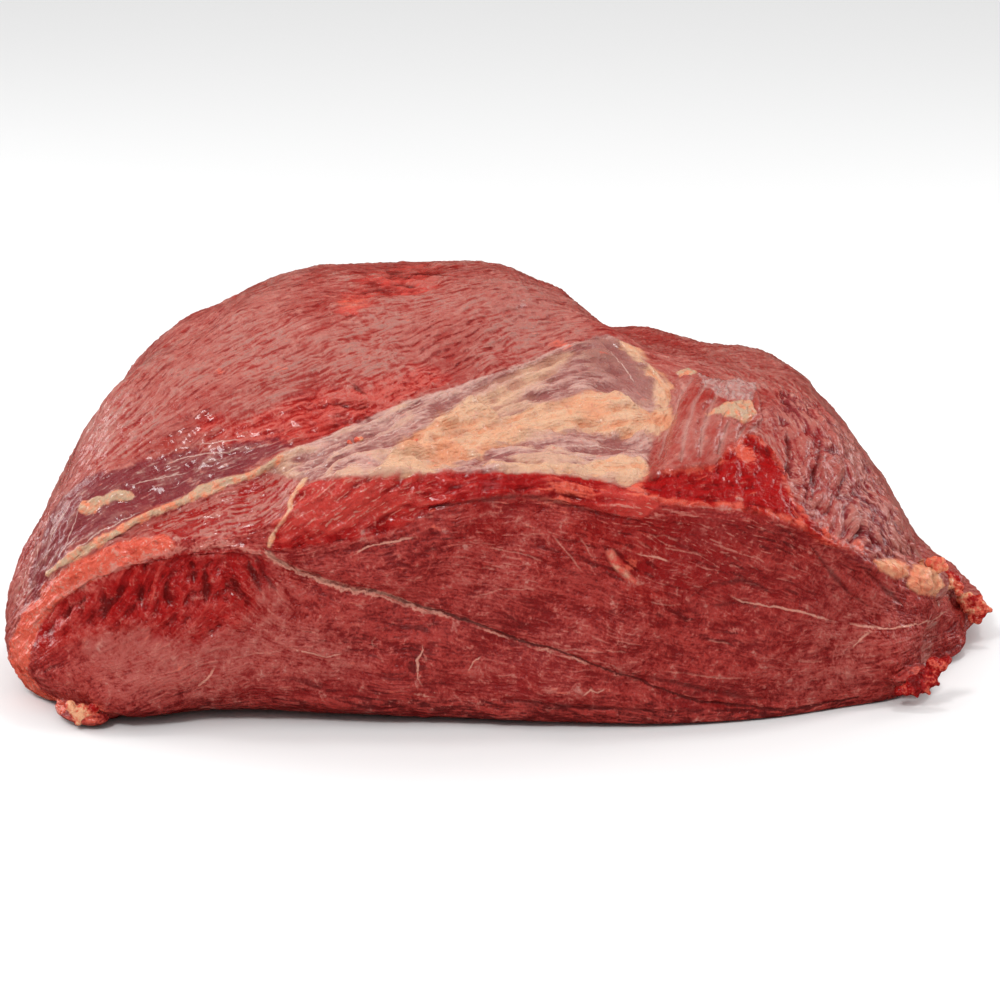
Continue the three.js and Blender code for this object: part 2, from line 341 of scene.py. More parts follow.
FLOW_BLEND = 12.0
STROKE_PX = 5.0
SEEN_STROKES = [
    (40, 560, 62), (60, 510, 58), (100, 440, 52), (160, 370, 45), (230, 320, 30), (120, 490, 30),
    (180, 470, 22), (240, 400, 28), (300, 340, 22), (300, 430, 14), (400, 290, 8), (380, 350, 20),
    (420, 380, 26), (500, 300, 12), (480, 350, 30), (560, 310, 2), (570, 345, 24), (110, 530, 30),
    (200, 495, 24), (260, 470, 22), (320, 455, 22), (390, 430, 24), (470, 405, 22), (540, 385, 22),
    (610, 360, -20), (640, 390, -50), (600, 420, 4), (540, 450, 4), (610, 460, -4), (220, 515, 12),
    (90, 560, 32), (30, 620, 60), (16, 660, 80), (45, 700, -28), (70, 612, 62), (110, 600, 68),
    (160, 590, 72), (210, 590, 76), (245, 580, -60), (280, 600, -45), (120, 660, 10), (60, 650, 25),
    (200, 660, 20), (300, 640, -12), (330, 495, 42), (300, 515, 50), (360, 510, 36), (400, 495, 24),
    (450, 490, 12), (520, 480, 4), (590, 492, -8), (640, 505, -14), (340, 560, 4), (400, 560, 2),
    (460, 560, -4), (540, 560, -10), (600, 560, -22), (660, 560, -26), (720, 550, -24), (780, 560, -26),
    (840, 580, -34), (880, 600, -32), (500, 620, -14), (600, 630, -14), (700, 640, -14), (780, 640, -8),
    (850, 660, 6), (900, 650, 14), (940, 630, 30), (400, 640, -10), (420, 690, -4), (520, 680, -8),
    (620, 690, -6), (720, 700, -2), (820, 690, 8), (900, 670, 22), (680, 420, 74), (700, 450, 78),
    (730, 400, 70), (740, 480, 10), (700, 490, 2), (780, 500, -40), (690, 350, 6), (740, 350, -4),
    (780, 390, -60), (790, 450, -88), (820, 470, 80), (830, 430, -60), (860, 480, -58), (880, 530, -52),
    (840, 520, 70), (910, 570, -30), (960, 590, -40),
]
HIDDEN_STROKES = [
    ((-150.0, 90.0, 60.0), (1.0, -0.2, 0.3)),
    ((-60.0, 120.0, 70.0), (1.0, 0.0, 0.15)),
    ((40.0, 120.0, 60.0), (1.0, 0.0, -0.2)),
    ((130.0, 90.0, 40.0), (1.0, -0.3, -0.35)),
    ((-60.0, 90.0, 115.0), (1.0, 0.2, 0.0)),
    ((60.0, 90.0, 90.0), (1.0, -0.2, -0.2)),
    ((0.0, 60.0, 0.0), (1.0, 0.1, 0.0)),
    ((-120.0, 0.0, 0.0), (1.0, 0.2, 0.0)),
    ((100.0, 0.0, 0.0), (1.0, -0.2, 0.0)),
    ((-188.0, 40.0, 40.0), (0.2, -0.6, 0.9)),
    ((185.0, 0.0, 20.0), (0.4, 0.9, -0.3)),
]


def find_strokes(surface):
    """Each stroke as a place on the surface and the way that the grain runs there."""
    strokes = []
    for px, py, degrees in SEEN_STROKES:
        angle = math.radians(degrees)
        dx, dy = STROKE_PX * math.cos(angle), -STROKE_PX * math.sin(angle)
        ahead = surface.cast(px + dx, py + dy)
        behind = surface.cast(px - dx, py - dy)
        strokes.append(((ahead + behind) / 2, (ahead - behind) / np.linalg.norm(ahead - behind)))
    for place, way in HIDDEN_STROKES:
        way = np.array(way)
        strokes.append((np.array(place), way / np.linalg.norm(way)))
    return strokes


def grain_ways(surface):
    """The way that the grain runs at each point."""
    total = np.zeros_like(surface.points)
    for place, way in find_strokes(surface):
        gap = ((surface.points - place) ** 2).sum(axis=1)
        total += way / (gap[:, None] + FLOW_BLEND ** 2) ** 2
    total -= surface.normals * (total * surface.normals).sum(axis=1)[:, None]
    return total / np.linalg.norm(total, axis=1)[:, None]


def drawn(surface, ways, width, length, seed):
    """Noise drawn out along the grain into streaks of that width and length, with a spread of 1."""
    steps = 1 + round(length / (0.8 * width))
    sway = np.stack([noise(surface.points, 6.0 * width, seed + 40 + axis) for axis in range(3)], axis=1)
    start = surface.points + 1.2 * width * sway
    total = np.zeros(len(surface.points))
    for offset in np.linspace(-length / 2, length / 2, steps):
        total += noise(start + ways * offset, width, seed)
    return total / total.std()


# Named places on the piece, in pixels of the photograph

CUT_EDGE = [
    (8, 655), (12, 640), (20, 622), (30, 605), (43, 590), (72, 568), (104, 555), (130, 544), (169, 541),
    (210, 534), (255, 529), (270, 524), (285, 505), (300, 484), (340, 478), (385, 475), (430, 472),
    (480, 471), (520, 471), (560, 474), (600, 481), (628, 487), (660, 503), (700, 507), (747, 510),
    (773, 515), (799, 526), (843, 547), (872, 562), (908, 582), (935, 597), (965, 598), (985, 612),
]
FAT_WEDGE = [
    (374, 474), (392, 455), (400, 446), (412, 440), (428, 430), (434, 421), (453, 409), (469, 398),
    (480, 397), (499, 418), (520, 413), (545, 403), (571, 398), (591, 393), (617, 394), (632, 406),
    (647, 414), (657, 421), (664, 430), (660, 438), (642, 438), (621, 436), (596, 433), (578, 431),
    (555, 433), (540, 436), (524, 441), (509, 444), (488, 450), (478, 457), (460, 464), (440, 472),
    (418, 474), (392, 475),
]
FAT_LOWER = [
    (484, 466), (520, 462), (545, 464), (570, 468), (583, 468), (600, 464), (619, 462), (642, 464),
    (650, 470), (641, 481), (629, 486), (612, 482), (591, 476), (565, 471), (545, 470), (520, 469),
    (500, 469),
]
FAT_CLIFF = [
    (617, 345), (628, 347), (638, 350), (645, 363), (660, 375), (673, 390), (672, 405), (667, 424),
    (659, 441), (653, 432), (655, 405), (651, 386), (645, 374), (629, 358),
]
FAT_PATCH = [
    (80, 511), (84, 503), (99, 497), (122, 490), (130, 491), (137, 497), (130, 501), (115, 501),
    (103, 507), (96, 514), (86, 515),
]
FAT_ON_LOBE = [
    (704, 415), (721, 408), (736, 405), (749, 405), (755, 415), (744, 425), (734, 423), (721, 419),
]
FAT_ON_LOBE_TOP = [
    (676, 373), (687, 368), (697, 371), (695, 377), (681, 378),
]
FAT_TAIL_FIRST = [
    (874, 560), (893, 558), (909, 566), (908, 577), (891, 578), (880, 570),
]
FAT_TAIL_NEXT = [
    (914, 564), (935, 570), (944, 585), (935, 596), (917, 593), (907, 585),
]
TAN_FILM = [
    (469, 398), (489, 391), (514, 381), (524, 372), (536, 367), (556, 358), (566, 356), (556, 368),
    (540, 380), (524, 391), (512, 402), (499, 414), (484, 404),
]
FAT_LINE = [
    (46, 574), (63, 562), (80, 553), (96, 545), (115, 534), (134, 522), (153, 514), (168, 507),
    (184, 501), (201, 491), (210, 488), (226, 482), (249, 476), (268, 467), (281, 459),
]
FAT_VEIN = [
    (269, 546), (273, 533), (284, 520), (291, 510), (290, 500), (297, 490), (303, 480),
]
SILVER = [
    (262, 470), (280, 456), (330, 435), (380, 413), (420, 399), (455, 389), (488, 377), (520, 366),
    (556, 350), (590, 340), (608, 335), (622, 345), (645, 362), (656, 380), (658, 405), (655, 430),
    (650, 455), (644, 482), (629, 487), (600, 480), (560, 474), (520, 472), (480, 471), (440, 474),
    (385, 476), (300, 480),
]
PURPLE = [
    (24, 600), (34, 560), (48, 520), (62, 497), (84, 480), (112, 468), (150, 458), (200, 450),
    (250, 442), (290, 441), (310, 444), (280, 458), (234, 474), (200, 487), (169, 502), (139, 516),
    (108, 531), (76, 549), (48, 568), (36, 590),
]
LOBE_FILM = [
    (672, 392), (668, 420), (660, 445), (652, 470), (644, 484), (664, 474), (690, 470), (712, 466),
    (726, 450), (745, 434), (762, 420), (757, 396), (735, 380), (700, 376), (682, 380),
]
TORN_RIM = [
    (630, 487), (652, 474), (676, 471), (694, 468), (713, 466), (726, 449), (747, 434), (760, 438),
    (773, 452), (784, 468), (790, 490), (808, 516), (826, 532), (845, 542), (846, 548), (824, 542),
    (799, 527), (773, 516), (747, 511), (720, 507), (694, 507), (664, 504), (642, 494),
]
UPPER_STRIP = [
    (272, 524), (288, 505), (302, 484), (340, 478), (385, 475), (430, 472), (480, 471), (520, 471),
    (560, 474), (600, 481), (640, 493), (660, 505), (640, 518), (600, 511), (560, 499), (520, 492),
    (480, 497), (440, 508), (410, 522), (380, 534), (350, 541), (310, 546), (275, 548),
]
LEFT_RIM = [
    (6, 668), (12, 640), (20, 618), (30, 600), (43, 584), (72, 562), (104, 549), (130, 538), (169, 535),
    (178, 548), (142, 560), (112, 571), (82, 585), (56, 604), (40, 626), (31, 650), (27, 672),
    (42, 690), (70, 706), (60, 715), (35, 702), (16, 688),
]
SEAM = [
    (269, 553), (289, 567), (309, 575), (333, 583), (353, 590), (373, 591), (390, 596), (414, 605),
    (436, 611), (460, 618), (477, 624), (503, 635), (527, 643), (556, 650), (590, 664), (632, 678),
    (662, 690), (703, 702), (744, 706), (785, 711), (826, 704), (858, 698),
]
MARBLING = [
    [(350, 562), (352, 554), (360, 550), (372, 545), (400, 541), (425, 536)],
    [(282, 646), (300, 651), (325, 656), (350, 652)],
    [(422, 640), (424, 651), (416, 660), (419, 676), (425, 692)],
    [(410, 694), (425, 696), (440, 690)],
    [(484, 657), (474, 663), (469, 674)],
    [(195, 690), (212, 675), (217, 663)],
    [(717, 588), (740, 601), (770, 606), (800, 612), (830, 620), (850, 625)],
    [(826, 617), (842, 622), (860, 627), (882, 629), (908, 627), (934, 619), (950, 608), (961, 596)],
    [(852, 652), (854, 645), (862, 638), (877, 629)],
    [(579, 698), (590, 690), (598, 692), (607, 687)],
    [(632, 552), (650, 556), (674, 562)],
]
FAINT_MARBLING = [
    [(374, 652), (372, 642), (380, 634)],
    [(214, 662), (250, 654), (300, 650)],
    [(665, 537), (680, 543)],
    [(536, 648), (560, 650), (596, 650)],
    [(412, 583), (418, 578), (426, 577)],
    [(476, 569), (488, 568), (500, 571)],
    [(402, 697), (421, 694), (446, 698)],
    [(296, 630), (310, 633), (322, 631)],
    [(545, 526), (570, 556), (590, 580)],
    [(572, 528), (590, 552), (604, 568)],
    [(640, 600), (668, 606), (690, 604)],
    [(650, 546), (690, 552), (720, 560)],
    [(640, 540), (664, 536), (690, 546)],
    [(700, 640), (736, 645)],
    [(460, 600), (500, 590), (548, 588)],
    [(600, 650), (632, 653)],
    [(640, 668), (700, 676), (770, 680)],
    [(790, 660), (830, 663)],
    [(470, 545), (520, 552), (560, 570)],
]
# Creases: cut into the relief and painted darker as shade; the first runs along the shadowed line under the
# upper strip
CREASES = [
    [(430, 508), (455, 505), (480, 501), (520, 496), (550, 501), (580, 509), (610, 516), (640, 521)],
    [(690, 597), (712, 585), (742, 581), (760, 586), (772, 594)],
    [(712, 606), (740, 602), (760, 608)],
    [(810, 545), (830, 572), (848, 592), (868, 606)],
    [(868, 572), (885, 590), (905, 605)],
    [(248, 560), (252, 575), (262, 592)],
    [(256, 556), (264, 575), (276, 590)],
    [(500, 700), (550, 705), (600, 708), (650, 712)],
    [(620, 672), (680, 684), (720, 694), (780, 702)],
    [(787, 430), (789, 455), (790, 475)],
    [(822, 440), (816, 470), (812, 500)],
]

FOLDS = [
    (45, 600), (80, 584), (130, 565), (175, 554), (230, 552), (262, 562), (262, 598), (240, 628),
    (200, 640), (150, 632), (110, 632), (70, 645), (45, 655), (34, 640),
]
# Pits in the folds: hollows in the relief, which the colour darkens as painted shade
PITS = [
    [(102, 588), (104, 602), (104, 618)],
    [(84, 598), (82, 616)],
    [(67, 606), (66, 622)],
    [(166, 582), (168, 604)],
    [(192, 564), (194, 584)],
    [(204, 572), (206, 598)],
    [(140, 588), (142, 604)],
]
RED_MEMBRANE = [
    (150, 528), (190, 505), (234, 488), (280, 474), (296, 484), (290, 505), (270, 524), (255, 530),
    (210, 536), (170, 543),
]
LOBE_SIDE = [
    (780, 385), (815, 405), (850, 435), (885, 490), (915, 548), (906, 574), (872, 562), (845, 545),
    (800, 512), (786, 470), (776, 430),
]
RIM_LINE = [
    (31, 634), (38, 616), (54, 600), (76, 586), (112, 570), (150, 557), (187, 548), (225, 545),
    (255, 551), (269, 556),
]
# The bottom band, where the piece turns under, painted darker as shade
FOOT_SHADE = [
    (148, 712), (200, 706), (250, 699), (310, 697), (370, 699), (430, 699), (480, 700), (550, 704),
    (640, 709), (720, 709), (800, 707), (860, 701), (900, 693), (930, 720), (600, 748), (148, 738),
]
# A painted highlight along the ridge at the apron's upper edge
APRON_EDGE_HIGHLIGHT = [
    (282, 458), (306, 446), (330, 437), (356, 425), (380, 414), (420, 400), (455, 389), (488, 377),
    (520, 366), (556, 350), (590, 339),
]
FLAP = [
    (694, 376), (705, 383), (729, 385), (757, 382), (754, 394), (749, 405), (726, 404), (715, 396),
    (704, 390),
]
COLUMN_GROOVES = [
    [(692, 380), (680, 400), (668, 428), (660, 462)],
    [(706, 386), (694, 404), (686, 430), (681, 464)],
    [(720, 390), (711, 408), (703, 430), (700, 458)],
    [(728, 424), (722, 440), (718, 456)],
    [(744, 428), (738, 438), (736, 446)],
]
SIDE_CRACKS = [
    [(786, 432), (790, 446), (788, 462), (784, 478)],
    [(820, 456), (816, 470), (809, 486), (806, 498)],
    [(846, 476), (842, 486), (840, 500)],
    [(864, 524), (858, 536), (850, 544)],
]
APRON_STREAKS = [
    [(300, 474), (340, 455), (400, 432), (450, 408)],
    [(330, 440), (372, 424), (420, 404), (470, 388)],
    [(290, 470), (330, 466), (372, 470)],
    [(520, 440), (560, 446), (610, 448), (650, 452)],
    [(530, 456), (580, 456), (620, 452)],
    [(600, 345), (620, 365), (640, 392)],
]
FLANK_STRANDS = [
    [(190, 447), (215, 443), (250, 440)],
    [(160, 462), (200, 455), (240, 452)],
    [(120, 487), (160, 478), (196, 470)],
    [(40, 560), (60, 520), (78, 494)],
    [(28, 580), (44, 530), (64, 486), (90, 440)],
    [(52, 566), (64, 545), (76, 520), (84, 505)],
    [(66, 555), (110, 528), (150, 508)],
    [(18, 600), (30, 555), (44, 515)],
]
GASH = [
    (340, 302), (352, 287), (375, 272), (400, 265), (432, 264), (448, 273), (440, 286), (420, 292),
    (398, 295), (376, 300), (356, 314), (343, 313),
]
SLITS = [
    [(384, 276), (398, 273), (412, 277), (424, 280)],
    [(392, 283), (406, 285), (420, 286)],
    [(370, 290), (384, 287)],
    [(346, 316), (356, 314)],
    [(353, 384), (358, 390), (366, 394)],
]
WRINKLES = [
    (196, 428), (250, 418), (300, 398), (340, 388), (380, 382), (432, 370), (446, 382), (404, 400),
    (374, 416), (330, 434), (280, 448), (216, 446),
]
WRINKLE_LINES = [
    [(210, 436), (250, 430), (290, 424)],
    [(256, 444), (300, 436), (330, 424)],
    [(300, 412), (330, 418), (370, 408)],
    [(262, 426), (268, 436), (262, 446)],
    [(330, 402), (360, 408), (390, 398)],
    [(306, 424), (340, 426), (368, 416)],
    [(380, 390), (400, 392), (424, 380)],
    [(470, 352), (505, 345), (540, 346), (560, 344)],
    [(500, 352), (530, 350), (556, 352)],
    [(430, 372), (470, 362), (500, 356)],
    [(470, 376), (510, 364), (540, 356)],
    [(484, 452), (500, 446), (520, 443)],
    [(550, 428), (575, 436), (600, 438)],
    [(590, 412), (592, 424), (600, 432)],
    [(440, 440), (480, 424), (520, 412)],
    [(470, 452), (510, 436), (560, 430)],
    [(500, 470), (560, 466), (600, 462)],
    [(420, 424), (460, 408), (500, 398)],
]

# Nudges that bring the outline to the photograph's: pixel across, pixel down, then the radius
# and the move in millimetres

NUDGES = [
    (957, 652, 11.0, (-13.0, 0.0, 0.0)),
    (985, 618, 9.0, (-9.0, 0.0, 0.0)),
    (745, 342, 16.0, (0.0, 0.0, -2.2)),
    (550, 280, 9.0, (0.0, 0.0, -1.8)),
    (925, 555, 10.0, (-0.5, 0.0, -2.5)),
    (24, 702, 10.0, (8.0, 2.0, 0.0)),
    (198, 322, 9.0, (2.5, 0.0, -3.0)),
    (128, 372, 10.0, (2.0, 0.0, -1.6)),
    (604, 318, 7.0, (0.0, 0.0, 2.4)),
    (700, 340, 12.0, (-1.0, 0.0, -1.2)),
    (900, 694, 12.0, (0.0, -5.0, 0.0)),
    (128, 706, 13.0, (0.0, -9.0, 0.0)),
    (20, 560, 10.0, (2.0, 0.0, 0.0)),
]

# The hidden back's band of film between two muscles, in millimetres, with the groove along it

BACK_HEIGHT = 52.0
BACK_SLOPE = -0.16
BACK_HALF_WIDTH = 9.0
BACK_WAVER = 12.0
BACK_WAVER_SIZE = 55.0
BACK_MIDDLE_X = 5.0
BACK_HALF_LENGTH = 95.0
BACK_FRONT_Y = 92.0
BACK_RAGGED_SIZE = (40.0, 30.0, 16.0)
BACK_FAT_HALF_WIDTH = -4.0
BACK_GROOVE_DEPTH = 2.4
BACK_GROOVE_HALF_WIDTH = 14.0

# Soft spots, each as pixel across, pixel down, radius in millimetres, strength

GREY_SPOTS = [
    (125, 655, 17, 1.0), (200, 670, 14, 0.7), (300, 640, 14, 0.45), (240, 620, 11, 0.5),
    (350, 668, 12, 0.45), (850, 660, 15, 0.6), (885, 615, 7, 0.5), (655, 610, 12, 0.25),
    (830, 580, 9, 0.35), (470, 592, 14, 0.3),
]
# Deeper red: the meat's own at the right of the cut face, and painted shade under the upper strip, in the
# folds and along the bottom
DEEPER_RED_AND_SHADE_SPOTS = [
    (725, 548, 22, 0.9), (655, 535, 11, 0.6), (600, 518, 9, 0.6), (430, 505, 9, 0.7),
    (500, 503, 10, 0.7), (830, 600, 14, 0.5), (520, 690, 12, 0.5), (700, 700, 12, 0.6),
    (400, 702, 16, 0.6), (300, 708, 20, 0.5), (150, 598, 11, 0.6), (80, 605, 8, 0.4),
    (600, 575, 12, 0.4), (865, 560, 8, 0.4),
]
# Paler film: partly the film's own colour and partly painted sheen; a negative strength makes it redder
FILM_AND_SHEEN_SPOTS = [
    (230, 340, 22, 0.7), (270, 292, 14, 0.5), (540, 320, 18, 0.7), (480, 290, 14, 0.5),
    (410, 335, 13, 0.5), (150, 395, 16, 0.35), (400, 400, 8, 0.4), (560, 300, 14, 0.4),
    (740, 360, 12, 0.3), (60, 480, 14, 0.5), (400, 285, 12, -0.9), (350, 300, 9, -0.8),
    (320, 430, 11, -0.9), (285, 445, 8, -0.6), (370, 402, 8, -0.6), (255, 432, 10, -0.6),
    (210, 425, 9, -0.5), (612, 330, 6, -1.0), (645, 336, 9, -0.9), (690, 350, 8, -0.6),
    (505, 355, 7, -0.5), (545, 368, 7, -0.6), (440, 380, 9, -0.5), (780, 400, 14, -0.3),
]
ORANGE_SPOTS = [
    (565, 492, 5, 1.0), (592, 490, 4, 0.8), (500, 484, 5, 0.4), (330, 500, 7, 0.3), (746, 452, 4, 1.0),
    (700, 478, 3, 0.7), (800, 520, 3, 0.9), (826, 536, 4, 1.0), (88, 715, 6, 1.0), (18, 660, 7, 0.7),
    (924, 680, 5, 1.0), (976, 610, 5, 1.0), (350, 300, 6, 0.6), (560, 345, 3, 0.8), (600, 322, 3, 1.0),
    (220, 372, 1.6, 1.2), (860, 548, 4, 0.8), (640, 492, 4, 0.7), (629, 565, 2.6, 1.1),
]

WET_SPOTS = [
    (60, 490, 16, 0.7), (150, 460, 14, 0.7), (230, 450, 12, 0.6), (370, 390, 10, 0.6),
    (600, 520, 14, 0.7), (480, 505, 14, 0.7), (700, 560, 20, 0.4), (260, 590, 14, 0.5),
    (640, 570, 12, 0.5),
]
WET_SHARE = {
    "torn": 1.0, "strip": 0.9, "rim": 0.8, "folds": 0.9, "membrane": 0.8, "side": 0.9, "wrinkles": 0.9,
    "gash": 0.8, "silver": 0.8, "facet": 0.9,
}

CREAM_SPOT = [
    (606, 551), (613, 549), (617, 556), (621, 565), (629, 573), (641, 585), (634, 583), (624, 577),
    (614, 569), (609, 560),
]
FEATHER_SPOTS = [
    (700, 535, 14, 1.0), (752, 540, 12, 0.9), (660, 520, 8, 0.8), (622, 508, 8, 0.7),
    (795, 565, 10, 0.6), (560, 512, 8, 0.6), (520, 560, 12, 0.4), (460, 545, 10, 0.4),
    (870, 590, 9, 0.5), (330, 500, 8, 1.0), (370, 500, 9, 0.9), (420, 496, 8, 0.6), (250, 585, 8, 0.7),
    (300, 515, 7, 0.9), (620, 650, 12, 0.4), (900, 660, 12, 0.4),
]
DUSK_SPOTS = [
    (620, 366, 9, 1.0), (600, 352, 6, 0.6), (642, 392, 7, 0.8), (560, 366, 6, 0.4),
]
BLUSH_SPOTS = [
    (596, 414, 4, 1.0), (440, 456, 7, 0.8), (560, 404, 5, 0.4), (500, 434, 5, 0.5), (512, 400, 5, 1.0),
]

# Colours, linear

FLESH_RED = (0.385, 0.031, 0.024)
FLESH_DEEP = (0.18, 0.005, 0.005)
# The meat's deep red, also painted as shade under the upper strip, in the folds and along the bottom
DEEP_RED_AND_SHADE = (0.26, 0.008, 0.008)
FLESH_GREY = (0.41, 0.088, 0.070)
# Dark red painted as shade in hollows, creases, slits, the seam's gap and the bottom band, and the colour of
# the dark lines along the grain
SHADE_AND_DARK_LINE_RED = (0.10, 0.004, 0.004)
FIBRE_PALE = (0.56, 0.19, 0.145)
BRIGHT_RED = (0.35, 0.006, 0.006)
PALE_RED = (0.63, 0.070, 0.053)
RED_ORANGE = (0.70, 0.11, 0.065)
FILM_RED = (0.34, 0.030, 0.023)
FILM_PINK = (0.47, 0.155, 0.125)
# Greyish film, with painted sheen where the film is palest
GREY_FILM_AND_SHEEN = (0.38, 0.165, 0.138)
PURPLE_SKIN = (0.21, 0.024, 0.030)
SILVER_SKIN = (0.58, 0.330, 0.280)
SILVER_DARK = (0.29, 0.095, 0.085)
CREAM_FAT = (0.70, 0.415, 0.265)
PEACH_FAT = (0.74, 0.305, 0.165)
BEIGE_FAT = (0.55, 0.36, 0.23)
TAN_SKIN = (0.49, 0.235, 0.155)
TAIL_FAT = (0.78, 0.23, 0.12)
TAIL_CREAM = (0.80, 0.38, 0.21)
SEAM_DARK = (0.16, 0.060, 0.042)
SEAM_FILM = (0.44, 0.20, 0.14)
MARBLE = (0.64, 0.27, 0.20)
PALE_STRAND = (0.66, 0.42, 0.36)
FLAP_SKIN = (0.52, 0.31, 0.28)


# Shaping

def nudge(piece):
    """Moves the outline a few millimetres to where the photograph shows it."""
    surface = Surface(piece.data)
    moved = surface.points.copy()
    for px, py, radius, move in NUDGES:
        gap = ((surface.points - surface.cast(px, py)) ** 2).sum(axis=1)
        moved += np.exp(-gap / (2.0 * radius * radius))[:, None] * np.array(move)
    moved[:, 2] = np.maximum(moved[:, 2], 0.0)
    piece.data.vertices.foreach_set("co", (moved * MM).astype(np.float32).ravel())
    piece.data.update()


CUT_REACH = 40.0
EDGE_DEPTH = 2.0
SOLE_HEIGHT = 2.0


def cut_side(surface):
    """Distance to the cut edge, negative on the cut face in front and below it."""
    chain = surface.trace(CUT_EDGE)
    order = np.argsort(chain[:, 0])
    edge_y = np.interp(surface.points[:, 0], chain[order, 0], chain[order, 1])
    edge_z = np.interp(surface.points[:, 0], chain[order, 0], chain[order, 2])
    gap, _ = surface.distance(chain, CUT_REACH)
    below = (surface.points[:, 2] < edge_z) & (surface.points[:, 1] < edge_y + EDGE_DEPTH)
    sole = surface.points[:, 2] < SOLE_HEIGHT
    return np.where(below | sole, -gap, gap)


def back_gap(surface):
    """Distance to the middle of the band across the hidden back, growing towards its ends and the front."""
    x, y, z = surface.points.T
    middle = BACK_HEIGHT + BACK_SLOPE * x + BACK_WAVER * noise(surface.points, BACK_WAVER_SIZE, seed=29)
    ends = 0.4 * np.maximum(np.abs(x - BACK_MIDDLE_X) - BACK_HALF_LENGTH, 0.0)
    return np.abs(z - middle) + ends + 0.8 * np.maximum(BACK_FRONT_Y - y, 0.0)


def back_band(surface, half_width, raggedness, seed):
    """Distance to the edge of a band on the hidden back, whose width comes and goes, negative inside."""
    width = half_width + raggedness * fractal(surface.points, BACK_RAGGED_SIZE, seed)
    return np.clip(back_gap(surface) - width, -REACH, REACH)


FAT_LINE_HALF_WIDTH = 1.1
FAT_LINE_BULGES = [(0.70, 1.5), (0.16, 0.9)]
FAT_LINE_BULGE_LENGTH = 0.09


def fat_masks(surface):
    """Distances to the fat, in millimetres and negative inside, for each of its colours."""
    gap, along = surface.distance(surface.trace(FAT_LINE))
    line = gap - FAT_LINE_HALF_WIDTH
    for middle, extra in FAT_LINE_BULGES:
        line = line - extra * np.exp(-((along - middle) / FAT_LINE_BULGE_LENGTH) ** 2)
    patches = surface.region(FAT_PATCH, FAT_ON_LOBE, FAT_ON_LOBE_TOP)
    gap, along = surface.distance(surface.trace(FAT_VEIN))
    back_fat = back_band(surface, BACK_FAT_HALF_WIDTH, raggedness=12.0, seed=31)
    return {
        "fat": np.minimum(surface.region(FAT_WEDGE, FAT_LOWER, FAT_CLIFF), back_fat),
        "beige": np.minimum(line, patches),
        "vein": gap - 0.5 - 1.1 * smoothstep(0.35, 0.8, along),
        "tail_fat": surface.region(FAT_TAIL_FIRST, FAT_TAIL_NEXT),
    }


REGIONS = {
    "tan": TAN_FILM,
    "facet": LOBE_FILM,
    "purple": PURPLE,
    "torn": TORN_RIM,
    "strip": UPPER_STRIP,
    "rim": LEFT_RIM,
    "folds": FOLDS,
    "membrane": RED_MEMBRANE,
    "side": LOBE_SIDE,
    "foot_shade": FOOT_SHADE,
    "flap": FLAP,
    "cream": CREAM_SPOT,
    "wrinkles": WRINKLES,
    "gash": GASH,
}
SPOTS = {
    "grey": GREY_SPOTS,
    "deep": DEEPER_RED_AND_SHADE_SPOTS,
    "film_and_sheen": FILM_AND_SHEEN_SPOTS,
    "orange": ORANGE_SPOTS,
    "feather": FEATHER_SPOTS,
    "blush": BLUSH_SPOTS,
    "dusk": DUSK_SPOTS,
}
FILM_AND_SHEEN_EVERYWHERE = 0.45


def find_masks(surface):
    """Where each tissue lies: distances in millimetres, negative inside, and weights from 0 to 1."""
    masks = fat_masks(surface)
    masks["cut"] = cut_side(surface)
    for name, outline in REGIONS.items():
        masks[name] = surface.region(outline)
    back_silver = back_band(surface, BACK_HALF_WIDTH, raggedness=10.0, seed=30)
    masks["silver"] = np.minimum(surface.region(SILVER), back_silver)
    for name, spots in SPOTS.items():
        masks[name] = surface.glow(spots)
    # The film's pallor with its painted sheen: a level everywhere, plus the spots
    masks["film_and_sheen"] = FILM_AND_SHEEN_EVERYWHERE + masks["film_and_sheen"]
    masks["seam"], masks["seam_near"], masks["seam_along"] = surface.offset(surface.trace(SEAM))
    masks["rim_line"] = surface.line(RIM_LINE, half_width=1.4)
    masks["apron_edge"] = surface.line(APRON_EDGE_HIGHLIGHT, half_width=0.8)
    masks["marble"], masks["marble_near"] = surface.hair_lines(MARBLING, FAINT_MARBLING)
    masks["strand"], masks["strand_near"] = surface.hair_lines(FLANK_STRANDS + APRON_STREAKS)
    masks["crease"] = surface.lines(CREASES, half_width=1.1)
    cracks = surface.lines(SIDE_CRACKS, half_width=0.7)
    masks["slit"] = np.maximum(surface.lines(SLITS, half_width=1.0), cracks)
    masks["groove"] = surface.lines(COLUMN_GROOVES, half_width=0.8, fade=0.4)
    masks["pit"] = surface.lines(PITS, half_width=1.8, fade=0.5)
    masks["wet"] = find_wetness(surface, masks)
    return masks


WET_FROM = 2.5
WET_TO = -1.5


def find_wetness(surface, masks):
    wet = surface.glow(WET_SPOTS)
    for name, share in WET_SHARE.items():
        wet = np.maximum(wet, share * smoothstep(WET_FROM, WET_TO, masks[name]))
    return np.clip(wet, 0.0, 1.0)


PLEAT_MEAN = 0.8


def find_grain(surface, ways, masks):
    """Streaks along the grain, from fine to broad."""
    masks["fibre"] = drawn(surface, ways, width=1.4, length=5.0, seed=1)
    masks["bundle"] = drawn(surface, ways, width=3.2, length=13.0, seed=2)
    masks["strap"] = drawn(surface, ways, width=8.0, length=34.0, seed=3)
    masks["pleat"] = np.abs(drawn(surface, ways, width=5.0, length=17.0, seed=5)) - PLEAT_MEAN


# Layers of noise for the relief: size in millimetres, seed and octaves

